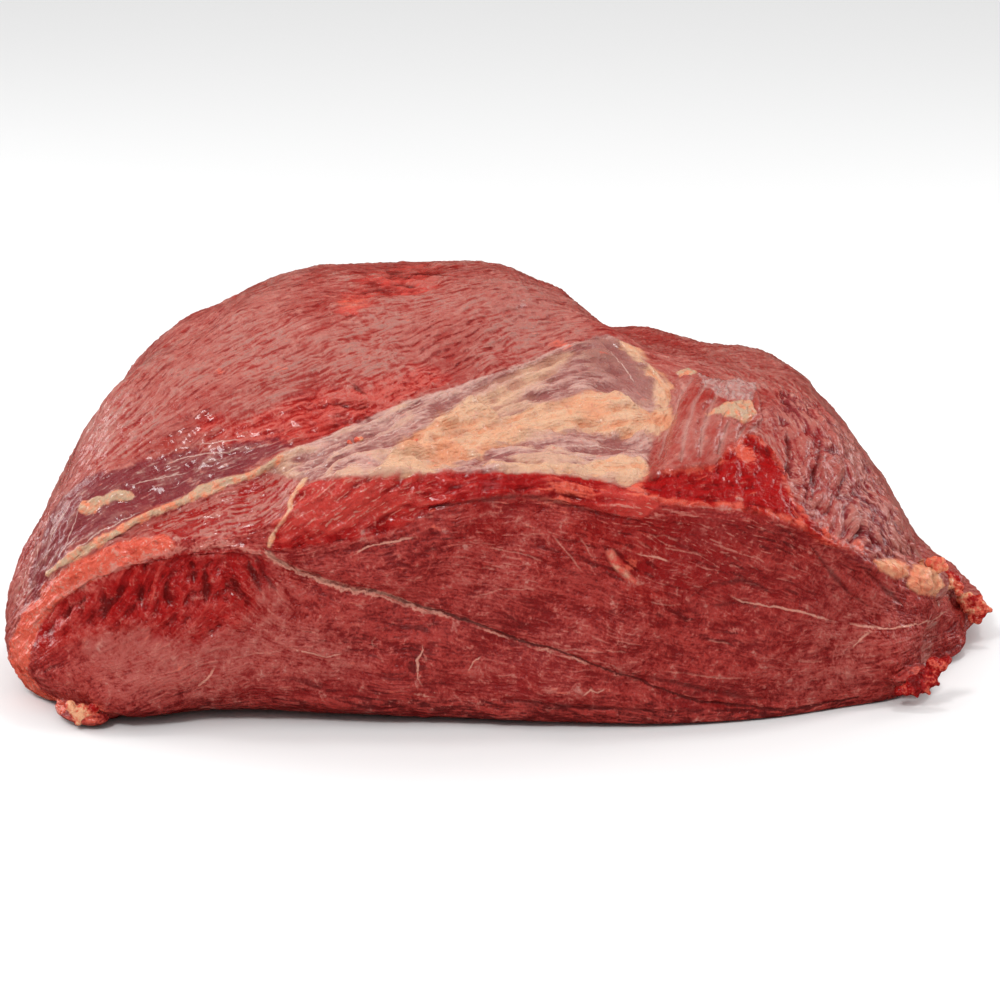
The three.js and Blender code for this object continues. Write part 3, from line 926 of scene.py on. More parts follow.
SWELLS = {
    "grit": (2.8, 3, 2),
    "lump": (8.0, 4, 2),
    "swell": (34.0, 18, 2),
    "waxy": ((12.0, 8.0, 5.0), 21, 3),
    "strip_swell": (9.0, 20, 3),
    "torn_swell": (6.0, 13, 3),
    "rim_grit": (3.0, 14, 2),
    "gash_swell": (9.0, 17, 3),
    "beige_grit": (4.0, 22, 3),
    "tail_swell": (7.0, 23, 2),
}
PUFFS = {
    "torn_puffs": (4.0, 12, 2),
    "rim_puffs": (4.0, 25, 2),
    "side_puffs": (10.0, 15, 2),
    "tail_puffs": (8.0, 26, 2),
}

# Relief in millimetres: the tissue, where its border starts and ends, and how far each layer raises it

SMALL_RELIEF = [
    ("cut", 1.2, -1.2, {"fibre": 0.06, "bundle": 0.10, "grit": 0.14, "crack": -0.4}),
    ("cut", -1.2, 1.2, {"fibre": 0.14, "bundle": 0.16, "grit": 0.16}),
    ("folds", 5.0, -5.0, {"bundle": 0.3, "pleat": 0.5, "grit": 0.4, "pit": -1.3}),
    ("strip", 1.2, -1.2, {"bundle": 0.25, "strip_swell": 0.8}),
    ("torn", 1.2, -1.2, {"pleat": 0.4, "torn_puffs": 1.0}),
    ("rim", 1.2, -1.2, {"rim_grit": 0.6, "rim_puffs": 0.6}),
    ("side", 4.0, -4.0, {"pleat": 0.5, "side_puffs": 2.0}),
    ("wrinkles", 3.0, -3.0, {"bundle": 0.2, "pleat": 0.5}),
    ("gash", 3.0, -3.0, {"gash_swell": 0.9, "level": -0.3}),
    ("facet", 0.6, -0.6, {"groove": -0.3}),
]
LARGE_RELIEF = [
    ("cut", 1.2, -1.2, {"strap": 0.20, "swell": 0.6, "lump": 0.3}),
    ("cut", -1.2, 1.2, {"strap": 0.15, "lump": 0.4, "swell": 1.2}),
    ("cream", 0.8, -0.8, {"level": 0.9}),
    ("facet", 0.6, -0.6, {"column": 1.6}),
    ("fat", 1.2, -1.6, {"level": 1.1, "waxy": 1.5, "strap": 0.3, "bundle": 0.2}),
    ("beige", 0.6, -0.8, {"level": 0.8, "beige_grit": 1.4}),
    ("vein", 0.5, -0.5, {"level": 0.6}),
    ("tail_fat", 0.8, -3.2, {"level": 2.6, "tail_swell": 1.2, "tail_puffs": 3.0}),
    ("silver", 1.2, -1.0, {"level": 0.5, "waxy": 0.8, "strap": 0.35, "bundle": 0.2}),
    ("flap", 0.4, -0.4, {"level": 0.5}),
]
CRACKED_PLACE_SIZE = 30.0
CRACK_WIDTH = 0.2
COLUMN_GAP = 2.6
TORN_LIP_MIDDLE = -0.6
TORN_LIP_WIDTH = 1.3
CREASE_DEPTH = 0.6
SLIT_DEPTH = 0.8
WRINKLE_DEPTH = 0.4
RIM_LINE_HEIGHT = 0.5
SEAM_DEPTH = 0.7
SETTLE_FROM = 0.5
SETTLE_TO = 6.0


def relief_layers(surface, masks):
    """Every layer that raises a tissue, by name."""
    p = surface.points
    layers = {name: masks[name] for name in ("fibre", "bundle", "strap", "pleat", "pit", "groove")}
    for name, (size, seed, octaves) in SWELLS.items():
        layers[name] = fractal(p, size, seed, octaves)
    for name, (size, seed, octaves) in PUFFS.items():
        layers[name] = billow(p, size, seed, octaves)
    cracked = smoothstep(0.0, 0.5, noise(p, CRACKED_PLACE_SIZE, seed=7))
    cracked = cracked * smoothstep(-0.5, 0.5, -masks["strap"])
    layers["crack"] = ridges(masks["bundle"], CRACK_WIDTH) * cracked
    layers["column"] = (1.0 - surface.lines(COLUMN_GROOVES, COLUMN_GAP, fade=0.4)) ** 0.5
    layers["level"] = 1.0
    return layers


def raised(masks, layers, recipes):
    """How far the recipes raise each point, in millimetres."""
    total = 0.0
    for tissue, start, end, shares in recipes:
        height = sum(share * layers[name] for name, share in shares.items())
        total = total + smoothstep(start, end, masks[tissue]) * height
    return total


def shape_relief(surface, masks):
    """Millimetres to raise each point by, and the part of that which makes small hollows and ridges."""
    layers = relief_layers(surface, masks)
    small = raised(masks, layers, SMALL_RELIEF)
    small = small - CREASE_DEPTH * masks["crease"] - SLIT_DEPTH * masks["slit"]
    small = small - WRINKLE_DEPTH * surface.lines(WRINKLE_LINES, half_width=1.0)
    core = smoothstep(1.0, 0.2, np.abs(masks["seam"])) * smoothstep(0.1, 0.3, masks["seam_along"])
    small = small - SEAM_DEPTH * core

    large = raised(masks, layers, LARGE_RELIEF)
    torn_lip = np.exp(-((masks["torn"] - TORN_LIP_MIDDLE) / TORN_LIP_WIDTH) ** 2)
    large = large + torn_lip * (0.5 + 0.8 * layers["torn_swell"])
    large = large + RIM_LINE_HEIGHT * masks["rim_line"]
    large = large - BACK_GROOVE_DEPTH * smoothstep(BACK_GROOVE_HALF_WIDTH, 0.0, back_gap(surface))
    settle = smoothstep(SETTLE_FROM, SETTLE_TO, surface.points[:, 2])
    return (small + large) * settle, small


def shape_clod(piece):
    refine(piece)
    nudge(piece)
    surface = Surface(piece.data)
    ways = grain_ways(surface)
    masks = find_masks(surface)
    find_grain(surface, ways, masks)
    height, fine = shape_relief(surface, masks)
    # The small relief, kept so that the colour is painted darker in its hollows and paler on its ridges, as
    # shade and light
    masks["relief"] = fine
    masks["way"] = ways
    moved = surface.points + surface.normals * height[:, None]
    moved[:, 2] = np.maximum(moved[:, 2], 0.0)
    piece.data.vertices.foreach_set("co", (moved * MM).astype(np.float32).ravel())
    for name, values in masks.items():
        put_attribute(piece.data, name, values)
    piece.data.update()
    for face in piece.data.polygons:
        face.use_smooth = True
    return surface


# Material

class Nodes:
    """Short calls for building a node tree."""

    def __init__(self, name):
        self.material = bpy.data.materials.new(name)
        self.material.use_nodes = True
        self.tree = self.material.node_tree
        self.tree.nodes.clear()
        self.links = self.tree.links

    def add(self, kind, **settings):
        node = self.tree.nodes.new(kind)
        for key, value in settings.items():
            setattr(node, key, value)
        return node

    def feed(self, socket, value):
        if isinstance(value, bpy.types.NodeSocket):
            self.links.new(value, socket)
        elif isinstance(value, tuple) and len(value) == 3 and len(socket.default_value) == 4:
            socket.default_value = (*value, 1.0)
        else:
            socket.default_value = value

    def attribute(self, name, output="Fac"):
        return self.add("ShaderNodeAttribute", attribute_name=name).outputs[output]

    def math(self, operation, a, b=0.0):
        node = self.add("ShaderNodeMath", operation=operation)
        self.feed(node.inputs[0], a)
        self.feed(node.inputs[1], b)
        return node.outputs[0]

    def times(self, a, b):
        return self.math("MULTIPLY", a, b)

    def plus(self, *values):
        total = values[0]
        for value in values[1:]:
            total = self.math("ADD", total, value)
        return total

    def centred(self, value, strength):
        return self.times(self.math("SUBTRACT", value, 0.5), strength)

    def ramp(self, value, low, high, start=0.0, end=1.0):
        node = self.add("ShaderNodeMapRange", interpolation_type="SMOOTHSTEP")
        for socket, entry in zip(node.inputs[:5], (value, low, high, start, end)):
            self.feed(socket, entry)
        return node.outputs[0]

    def noise(self, vector, scale, detail=3.0, roughness=0.55, output="Fac"):
        node = self.add("ShaderNodeTexNoise")
        self.feed(node.inputs["Vector"], vector)
        self.feed(node.inputs["Scale"], scale)
        self.feed(node.inputs["Detail"], detail)
        self.feed(node.inputs["Roughness"], roughness)
        return node.outputs[output]

    def moved(self, vector, direction, distance):
        """The vector, moved along a direction."""
        node = self.add("ShaderNodeVectorMath", operation="MULTIPLY_ADD")
        self.feed(node.inputs[0], direction)
        node.inputs[1].default_value = (distance, distance, distance)
        self.feed(node.inputs[2], vector)
        return node.outputs[0]

    def mix(self, factor, a, b):
        node = self.add("ShaderNodeMix", data_type="RGBA")
        self.feed(node.inputs["Factor"], factor)
        self.feed(node.inputs[6], a)
        self.feed(node.inputs[7], b)
        return node.outputs[2]

    def two_tone(self, value, low, high, first, second):
        return self.mix(self.ramp(value, low, high), first, second)


# Noise signals: bumps per metre, detail, roughness, and the strength that brings the spread to about 1

NOISE_SIGNALS = {
    "speck": (900.0, 2.0, 0.6, 8.0),
    "mottle": (260.0, 4.0, 0.6, 9.0),
    "blotch": (90.0, 4.0, 0.55, 8.0),
    "cloud": (30.0, 3.0, 0.5, 8.0),
}
WEAVE = {
    "fibre": 0.45, "bundle": 0.35, "pale_hairs": 0.50, "dark_hairs": 0.35, "mottle": 0.40, "speck": 0.30,
}
FINE_WEAVE = {
    "fibre": 0.15, "bundle": 0.20, "strap": 0.28, "pale_hairs": 0.25, "dark_hairs": 0.12,
    "mottle": 0.70, "blotch": 0.30, "speck": 0.65,
}
SWAY_SCALE = 60.0
SWAY = 0.006
HAIR_SPACING = 0.7
HAIR_STRENGTH = 26.0


class MeatNodes(Nodes):
    """A node tree with the signals that all the tissues share. Each signal has a spread of about 1."""

    def __init__(self, name):
        super().__init__(name)
        still = self.add("ShaderNodeTexCoord").outputs["Object"]
        sway = self.add("ShaderNodeVectorMath", operation="SUBTRACT")
        self.feed(sway.inputs[0], self.noise(still, SWAY_SCALE, 1.0, output="Color"))
        sway.inputs[1].default_value = (0.5, 0.5, 0.5)
        self.place = self.moved(still, sway.outputs[0], SWAY)
        self.way = self.attribute("way", "Vector")
        self.pale_hairs = self.hair(width=0.0009, steps=10)
        self.dark_hairs = self.hair(width=0.0015, steps=8)
        for signal, (scale, detail, roughness, strength) in NOISE_SIGNALS.items():
            value = self.noise(self.place, scale, detail, roughness)
            setattr(self, signal, self.centred(value, strength))
        self.fibre = self.attribute("fibre")
        self.bundle = self.attribute("bundle")
        self.strap = self.attribute("strap")
        self.weave = self.blend(**WEAVE)
        self.fine_weave = self.blend(**FINE_WEAVE)
        self.ragged = self.blend(mottle=0.30, blotch=0.35, speck=0.08)
        self.frayed = self.blend(bundle=0.9, fibre=0.5, strap=0.9, ragged=1.0)
        self.wander = self.blend(blotch=0.45, mottle=0.22)
        self.pale_lines = self.ramp(self.pale_hairs, 1.0, 2.4)
        self.dark_lines = self.ramp(self.dark_hairs, -0.9, -2.0)

    def hair(self, width, steps):
        """Noise drawn out along the grain, finer than the mesh can hold."""
        total = 0.0
        for step in range(steps):
            offset = (step - (steps - 1) / 2) * width * HAIR_SPACING
            spot = self.moved(self.place, self.way, offset)
            total = self.math("ADD", self.noise(spot, 1.0 / width, 0.0), total)
        return self.centred(self.times(total, 1.0 / steps), HAIR_STRENGTH)

    def blend(self, **shares):
        """The sum of signals and painted attributes, each times its share."""
        parts = []
        for name, share in shares.items():
            value = getattr(self, name) if hasattr(self, name) else self.attribute(name)
            parts.append(value if share == 1.0 else self.times(value, share))
        return self.plus(*parts)

    def inside(self, name, soft=0.35, edge=None, strength=1.0):
        """The share of a tissue: strength inside its edge, 0 outside, with an uneven border."""
        border = self.ragged if edge is None else edge
        return self.ramp(self.math("ADD", self.attribute(name), border), soft, -soft, 0.0, strength)

    def thread(self, colour, name, width, strength, tone):
        """The colour with a fine line drawn where a signed distance passes through zero."""
        gap = self.math("ABSOLUTE", self.plus(self.attribute(name), self.wander))
        near = self.plus(self.attribute(name + "_near"), self.times(self.ragged, 0.14))
        near = self.ramp(near, 0.35, 0.85)
        core = self.ramp(self.plus(gap, self.times(self.ragged, width * 0.6)), width, width * 0.2)
        return self.mix(self.times(self.times(core, near), strength), colour, tone)


def flesh_colour(n):
    """The cut face: red fibres, greyer places, deeper red places that are partly painted shade, and fine
    pale and dark lines along the grain.
    """
    colour = n.two_tone(n.fine_weave, -1.9, 1.0, FLESH_DEEP, FLESH_RED)
    greyed = n.blend(grey=1.0, cloud=0.2, fine_weave=0.2)
    grey = n.two_tone(n.fine_weave, -2.4, 0.8, FLESH_RED, FLESH_GREY)
    colour = n.mix(n.ramp(greyed, 0.0, 1.2, 0.0, 0.85), colour, grey)
    # Deeper red, partly painted shade under the upper strip, in the folds and along the bottom
    deep = n.blend(deep=1.0, cloud=0.22, fine_weave=-0.2)
    colour = n.mix(n.ramp(deep, 0.1, 1.3, 0.0, 0.85), colour, DEEP_RED_AND_SHADE)
    colour = n.mix(n.ramp(n.blend(fine_weave=1.0, cloud=0.3), 0.6, 2.4, 0.0, 0.45), colour, FLESH_GREY)
    pale = n.blend(feather=1.0, cloud=0.3, blotch=0.2)
    colour = n.mix(n.times(n.pale_lines, n.ramp(pale, -0.1, 1.0, 0.05, 0.55)), colour, FIBRE_PALE)
    dark = n.blend(cloud=-0.5, strap=-0.4, deep=1.0)
    return n.mix(n.times(n.dark_lines, n.ramp(dark, 0.0, 1.8, 0.0, 0.7)), colour, SHADE_AND_DARK_LINE_RED)


def skin_colour(n):
    """The outer film: pink over red, paler and greyer where painted sheen lies on it, with short strokes,
    pale and dark.
    """
    stroke = n.times(n.weave, n.ramp(n.cloud, -0.7, 0.7, 0.4, 0.95))
    # The film's pallor and painted sheen, with strokes and clouds
    film_and_sheen_tone = n.plus(n.attribute("film_and_sheen"), stroke, n.times(n.cloud, 0.4), n.times(n.blotch, 0.15))
    colour = n.two_tone(film_and_sheen_tone, -1.1, 2.0, FILM_RED, FILM_PINK)
    colour = n.mix(n.ramp(film_and_sheen_tone, 1.1, 2.4, 0.0, 0.8), colour, GREY_FILM_AND_SHEEN)
    pale = n.blend(cloud=0.5, blotch=0.3)
    colour = n.mix(n.times(n.pale_lines, n.ramp(pale, -0.6, 1.0, 0.1, 0.6)), colour, FIBRE_PALE)
    return n.mix(n.times(n.dark_lines, n.ramp(pale, 0.6, -0.8, 0.1, 0.7)), colour, FLESH_DEEP)


def wet_red(n, share):
    """Bare wet meat, from deep red to pale, with a share of pale: darker in the relief's hollows as painted
    shade, and paler on its ridges as painted light.
    """
    tone = n.blend(weave=0.4, mottle=0.3, blotch=0.5, relief=0.9)
    colour = n.two_tone(tone, -2.2, 0.2, FLESH_DEEP, BRIGHT_RED)
    return n.mix(n.ramp(tone, -0.2, 2.6 - share, 0.0, 0.15 + 0.7 * share), colour, PALE_RED)


def red_tissues(n, colour):
    """Bare wet meat: folds, wrinkles, gash, membrane, upper strip, torn edge and rim."""
    loose = n.times(n.frayed, 1.5)
    colour = n.mix(n.inside("folds", 8.0, loose, 0.8), colour, wet_red(n, 0.6))
    wrinkled = n.two_tone(n.weave, -1.6, 0.6, BRIGHT_RED, PALE_RED)
    colour = n.mix(n.inside("wrinkles", 3.5, loose, 0.55), colour, wrinkled)
    # The gash: darker in the relief's hollows, as painted shade
    gash = n.two_tone(n.blend(blotch=1.0, relief=0.8), -1.6, 0.8, FLESH_DEEP, PALE_RED)
    gash = n.mix(n.ramp(n.blend(bundle=1.0, blotch=1.0), 0.2, 2.0, 0.0, 0.6), gash, FILM_PINK)
    colour = n.mix(n.inside("gash", 3.0, loose, 0.75), colour, gash)
    membrane = n.two_tone(n.weave, -0.8, 0.8, BRIGHT_RED, FILM_PINK)
    colour = n.mix(n.inside("membrane", 1.2, n.frayed, 0.65), colour, membrane)
    feather = n.attribute("feather")
    strip = n.ramp(n.plus(feather, n.times(n.bundle, 0.3)), 0.2, 1.3, 0.0, 0.6)
    strip = n.mix(strip, wet_red(n, 0.2), PALE_RED)
    strip = n.mix(n.times(n.pale_lines, n.ramp(feather, 0.2, 1.0, 0.0, 0.9)), strip, FIBRE_PALE)
    colour = n.mix(n.inside("strip", 0.8, n.ragged, 0.92), colour, strip)
    colour = n.mix(n.inside("torn", 0.4), colour, wet_red(n, 0.0))
    lip = n.ramp(n.math("ABSOLUTE", n.plus(n.attribute("torn"), 0.9, n.times(n.ragged, 1.4))), 2.0, 0.2)
    lip = n.times(lip, n.ramp(n.blend(blotch=1.0, mottle=1.0), -1.6, 1.4, 0.1, 0.8))
    colour = n.mix(lip, colour, RED_ORANGE)
    rim = n.two_tone(n.blend(mottle=1.0, blotch=1.0), -3.4, 0.0, BRIGHT_RED, RED_ORANGE)
    rim = n.mix(n.ramp(n.blend(speck=1.0, mottle=1.0), 0.4, 1.8, 0.0, 0.8), rim, MARBLE)
    return n.mix(n.inside("rim", 0.8, n.ragged, 0.92), colour, rim)


def film_tissues(n, colour):
    """Films: purple at the left, silverskin on the apron, on the lobe's side darker in the folds' hollows
    and pinker on their tops as painted shade and sheen, pink on its facet.
    """
    purple = n.two_tone(n.blend(bundle=1.0, pale_hairs=0.35), -0.6, 2.0, PURPLE_SKIN, SILVER_DARK)
    glaze = n.ramp(n.blend(blotch=0.5, bundle=0.4), -1.0, 1.4, 0.05, 0.65)
    purple = n.mix(n.times(n.pale_lines, glaze), purple, PALE_STRAND)
    colour = n.mix(n.inside("purple", 1.6, n.frayed, 0.92), colour, purple)
    # The lobe's side: darker in its folds' hollows and pinker on their tops, as painted shade and sheen
    fold_shading_and_grain = n.blend(weave=0.6, relief=1.8)
    side = n.two_tone(fold_shading_and_grain, -1.5, 0.7, PURPLE_SKIN, FILM_PINK)
    side = n.mix(n.ramp(n.blend(cloud=1.0, blotch=0.4), -0.2, 1.4, 0.0, 0.5), side, BRIGHT_RED)
    side = n.mix(n.times(n.pale_lines, 0.3), side, PALE_STRAND)
    colour = n.mix(n.inside("side", 4.0, n.frayed, 0.8), colour, side)
    sheen = n.blend(bundle=0.6, strap=0.5, pale_hairs=0.25)
    silver = n.two_tone(sheen, -1.3, 1.0, SILVER_DARK, SILVER_SKIN)
    silver = n.mix(n.ramp(n.blend(cloud=1.0, bundle=0.5), 0.0, 1.8, 0.0, 0.65), silver, CREAM_FAT)
    silver = n.mix(n.times(n.pale_lines, n.ramp(n.blotch, -0.8, 1.2, 0.05, 0.5)), silver, PALE_STRAND)
    silver = n.mix(n.ramp(n.blend(dusk=1.0, bundle=0.15), 0.1, 1.1, 0.0, 0.8), silver, SILVER_DARK)
    colour = n.mix(n.inside("silver", 1.0, n.ragged, 0.95), colour, silver)
    facet = n.two_tone(n.blend(weave=0.2, blotch=0.6), -1.2, 1.4, FILM_RED, FILM_PINK)
    facet = n.mix(n.times(n.attribute("groove"), 0.55), facet, SILVER_SKIN)
    return n.mix(n.inside("facet", 0.8, n.ragged, 0.95), colour, facet)


def fat_tissues(n, colour):
    """Fat: cream and peach, thinning to the film under it, and beige where it is dry."""
    tan = n.two_tone(n.blend(bundle=1.0, cloud=0.8), -1.6, 0.8, TAN_SKIN, CREAM_FAT)
    colour = n.mix(n.inside("tan", 3.5, n.frayed, 0.8), colour, tan)
    edge = n.blend(mottle=0.30, blotch=0.45, fibre=0.3, bundle=0.7)
    streak = n.blend(cloud=0.4, bundle=0.45, weave=0.35, blotch=0.2)
    fat = n.two_tone(streak, -2.0, 0.5, PEACH_FAT, CREAM_FAT)
    fat = n.mix(n.ramp(n.blend(blotch=1.0, strap=-0.6), 0.3, 1.8, 0.0, 0.35), fat, TAN_SKIN)
    fat = n.mix(n.ramp(n.blend(blush=1.0, bundle=0.25), 0.2, 1.1, 0.0, 0.8), fat, PEACH_FAT)
    colour = n.mix(n.inside("fat", 3.0, edge, 0.55), colour, TAN_SKIN)
    colour = n.mix(n.inside("fat", 1.3, edge, 0.94), colour, fat)
    beige = n.two_tone(n.blend(mottle=1.0, blotch=0.5), -1.6, 0.8, TAIL_FAT, BEIGE_FAT)
    colour = n.mix(n.inside("beige", 0.5, n.ragged, 0.95), colour, beige)
    vein = n.two_tone(n.mottle, -1.2, 0.8, PEACH_FAT, CREAM_FAT)
    colour = n.mix(n.inside("vein", 0.5, n.ragged, 0.9), colour, vein)
    tail = n.two_tone(n.blend(blotch=1.0, mottle=0.7), -1.2, 1.0, TAIL_FAT, TAIL_CREAM)
    colour = n.mix(n.inside("tail_fat", 0.8, n.ragged, 0.92), colour, tail)
    cream = n.two_tone(n.blend(blotch=1.0, mottle=0.7), -0.8, 1.6, PALE_RED, CREAM_FAT)
    colour = n.mix(n.inside("cream", 0.8, n.ragged, 0.85), colour, cream)
    glaze = n.times(n.inside("flap", 0.4, n.times(n.ragged, 0.8)), n.ramp(n.weave, -1.2, 1.2, 0.35, 0.9))
    return n.mix(glaze, colour, FLAP_SKIN)


def fine_lines(n, colour):
    """Orange tints, the pale ridge of the rim, a painted highlight along the apron's edge, painted shade in
    hollows, creases and slits, marbling and strands.
    """
    tint = n.ramp(n.blend(orange=1.0, weave=0.2, blotch=0.25), 0.45, 1.1, 0.0, 0.8)
    colour = n.mix(tint, colour, RED_ORANGE)
    ridge = n.blend(rim_line=1.0, mottle=0.40, speck=0.25)
    colour = n.mix(n.ramp(ridge, 0.3, 1.1, 0.0, 0.6), colour, FIBRE_PALE)
    # Painted highlight along the apron's upper edge
    ridge = n.blend(apron_edge=1.0, mottle=0.2, blotch=0.2)
    colour = n.mix(n.ramp(ridge, 0.3, 1.0, 0.0, 0.6), colour, PALE_STRAND)
    # Painted shade: darker in the relief's hollows
    hollow_shade = n.blend(relief=1.0, weave=0.12)
    colour = n.mix(n.ramp(hollow_shade, -0.45, -1.7, 0.0, 0.7), colour, SHADE_AND_DARK_LINE_RED)
    # Painted shade in creases and slits, and along the shadowed line under the upper strip
    dark = n.plus(n.math("MAXIMUM", n.attribute("crease"), n.attribute("slit")), n.times(n.ragged, 0.45))
    colour = n.mix(n.ramp(dark, 0.35, 1.1, 0.0, 0.65), colour, SHADE_AND_DARK_LINE_RED)
    colour = n.thread(colour, "marble", 0.55, 0.85, MARBLE)
    return n.thread(colour, "strand", 0.35, 0.7, PALE_STRAND)


def seam_lines(n, colour):
    """The seam across the cut face: a film at its left end, then a gap darkened with painted shade, with a
    pale lip.
    """
    along = n.attribute("seam_along")
    near = n.ramp(n.attribute("seam_near"), 0.3, 0.6)
    side = n.blend(seam=1.0, wander=0.8)
    gap = n.math("ABSOLUTE", side)
    width = n.ramp(along, 0.05, 0.40, 1.4, 0.4)
    band = n.ramp(n.math("DIVIDE", n.plus(gap, n.times(n.mottle, 0.2)), width), 1.2, 0.4)
    strength = n.times(near, n.ramp(along, 0.30, 0.70, 0.8, 0.1))
    strength = n.times(strength, n.ramp(n.blend(blotch=1.0, mottle=1.0), -1.6, 0.2, 0.4, 1.0))
    film = n.two_tone(n.blend(weave=1.0, mottle=1.0), -1.6, 1.2, SEAM_DARK, SEAM_FILM)
    colour = n.mix(n.times(band, strength), colour, film)
    # Painted shade in the seam's gap
    core = n.ramp(n.plus(gap, n.times(n.speck, 0.1)), 0.7, 0.2)
    core = n.times(core, n.ramp(along, 0.10, 0.30, 0.1, 0.85))
    colour = n.mix(n.times(core, near), colour, SHADE_AND_DARK_LINE_RED)
    lip = n.ramp(n.math("ABSOLUTE", n.plus(side, 1.1, n.times(n.mottle, 0.4))), 0.8, 0.1)
    pale = n.ramp(n.plus(along, n.times(n.blotch, 0.2)), 0.25, 0.50, 0.7, 0.0)
    return n.mix(n.times(n.times(lip, pale), near), colour, MARBLE)


BUMP_STRENGTH = 0.75
BUMP_DISTANCE = 0.00028
DULL_ROUGHNESS = (0.34, 0.54)
WET_ROUGHNESS = (0.10, 0.26)
WET_SURFACE = {
    "IOR": 1.36,
    "Specular IOR Level": 0.45,
    "Subsurface Weight": 0.10,
    "Subsurface Radius": (1.0, 0.25, 0.15),
    "Subsurface Scale": 0.0016,
    "Coat Weight": 0.5,
    "Coat Roughness": 0.11,
    "Coat IOR": 1.33,
}


def wet_shader(n, colour, height, roughness):
    """The wet surface over the colour, with bumps finer than the mesh holds."""
    bump = n.add("ShaderNodeBump")
    bump.inputs["Strength"].default_value = BUMP_STRENGTH
    bump.inputs["Distance"].default_value = BUMP_DISTANCE
    n.feed(bump.inputs["Height"], height)
    shader = n.add("ShaderNodeBsdfPrincipled")
    for name, value in WET_SURFACE.items():
        shader.inputs[name].default_value = value
    n.feed(shader.inputs["Base Color"], colour)
    n.feed(shader.inputs["Roughness"], roughness)
    n.feed(shader.inputs["Normal"], bump.outputs[0])
    out = n.add("ShaderNodeOutputMaterial")
    n.links.new(shader.outputs[0], out.inputs["Surface"])


def meat_height(n):
    return n.blend(speck=0.25, mottle=0.75, pale_hairs=0.25, fibre=0.2)


def meat_roughness(n):
    uneven = n.blend(blotch=1.0, mottle=1.0)
    dull = n.ramp(uneven, -1.5, 1.5, *DULL_ROUGHNESS)
    wet = n.ramp(uneven, -1.5, 1.5, *WET_ROUGHNESS)
    return n.plus(dull, n.times(n.attribute("wet"), n.math("SUBTRACT", wet, dull)))


def meat_material():
    n = MeatNodes("raw_beef")
    colour = n.mix(n.inside("cut", 0.5), skin_colour(n), flesh_colour(n))
    colour = red_tissues(n, colour)
    colour = film_tissues(n, colour)
    # Painted shade on the bottom band, where the piece turns under
    foot_shade = n.two_tone(n.weave, -1.2, 1.6, SHADE_AND_DARK_LINE_RED, FLESH_RED)
    colour = n.mix(n.inside("foot_shade", 0.8, n.ragged, 0.75), colour, foot_shade)
    colour = fat_tissues(n, colour)
    colour = fine_lines(n, colour)
    colour = seam_lines(n, colour)
    wet_shader(n, colour, meat_height(n), meat_roughness(n))
    return n.material


def scrap_material(name, deep, middle, light):
    """Torn scraps, from a deep colour in their hollows to a light one."""
    n = Nodes(name)
    place = n.add("ShaderNodeTexCoord").outputs["Object"]
    lump = n.centred(n.noise(place, 150.0, 3.0), 10.0)
    fleck = n.centred(n.noise(place, 600.0, 3.0, 0.6), 8.0)
    tone = n.plus(lump, n.times(fleck, 0.5))
    colour = n.mix(n.ramp(tone, 0.1, 1.5), n.two_tone(tone, -1.3, 0.2, deep, middle), light)
    wet_shader(n, colour, n.plus(n.times(fleck, 0.8), lump), n.ramp(fleck, -1.0, 1.0, 0.16, 0.36))
    return n.material


# Scraps that stick out: the pixel they hang from, how far they stand off in millimetres,
# and balls of meat as pixel across, pixel down and radius in pixels

MEAT_SCRAPS = {
    "tail_tip": ((962, 602), 1.0, [
        (962, 599, 6.5), (969, 598, 6.5), (975, 601, 6.5), (981, 605, 6.0), (986, 609, 4.6), (990, 610, 3.2),
        (981, 613, 6.0), (974, 611, 6.5), (978, 620, 4.6), (972, 618, 5.0), (966, 607, 6.5), (980, 597, 3.4),
    ]),
    "tail_shred": ((950, 590), 1.0, [
        (946, 573, 5.0), (951, 576, 5.0), (956, 580, 5.4), (960, 586, 5.0), (959, 592, 4.6), (952, 584, 5.5),
    ]),
    "heel_flap": ((86, 710), 1.0, [
        (70, 706, 6.0), (74, 711, 6.0), (77, 717, 5.6), (78, 722, 4.0), (83, 716, 6.0), (88, 712, 6.0),
        (94, 708, 6.0), (86, 719, 4.0), (92, 716, 4.0), (82, 710, 7.0),
    ]),
    "crumb": ((358, 441), 1.6, [(357, 440, 3.6), (361, 439, 3.0)]),
}
FLESH_SCRAPS = {
    "foot_flap": ((900, 682), 2.0, [
        (934, 672, 7.0), (930, 680, 8.0), (923, 686, 8.0), (915, 689, 7.5), (907, 690, 6.5), (899, 691, 5.5),
        (938, 684, 2.4), (929, 693, 2.6), (917, 696, 2.2), (947, 660, 5.0), (941, 665, 7.0), (933, 664, 8.0),
        (925, 675, 8.0), (914, 682, 8.0),
    ]),
}
FAT_SCRAPS = {
    "tail_knob": ((934, 574), 0.5, [
        (930, 563, 5.4), (935, 561, 5.4), (941, 562, 5.4), (944, 567, 5.0), (938, 568, 6.0),
    ]),
    "crumb_fat": ((350, 443), 1.4, [(349, 442, 2.6), (352, 445, 2.2)]),
    "crumb_small": ((415, 441), 0.8, [(414, 441, 1.8), (417, 440, 1.6)]),
}
SCRAP_VOXEL = 0.0004
SCRAP_SWELL = 0.16
SCRAP_SWELL_SIZE = 5.0
SCRAP_PUFF = 0.06
SCRAP_PUFF_SIZE = 3.6
LOWEST = 0.1
SCRAP_SEED = 60


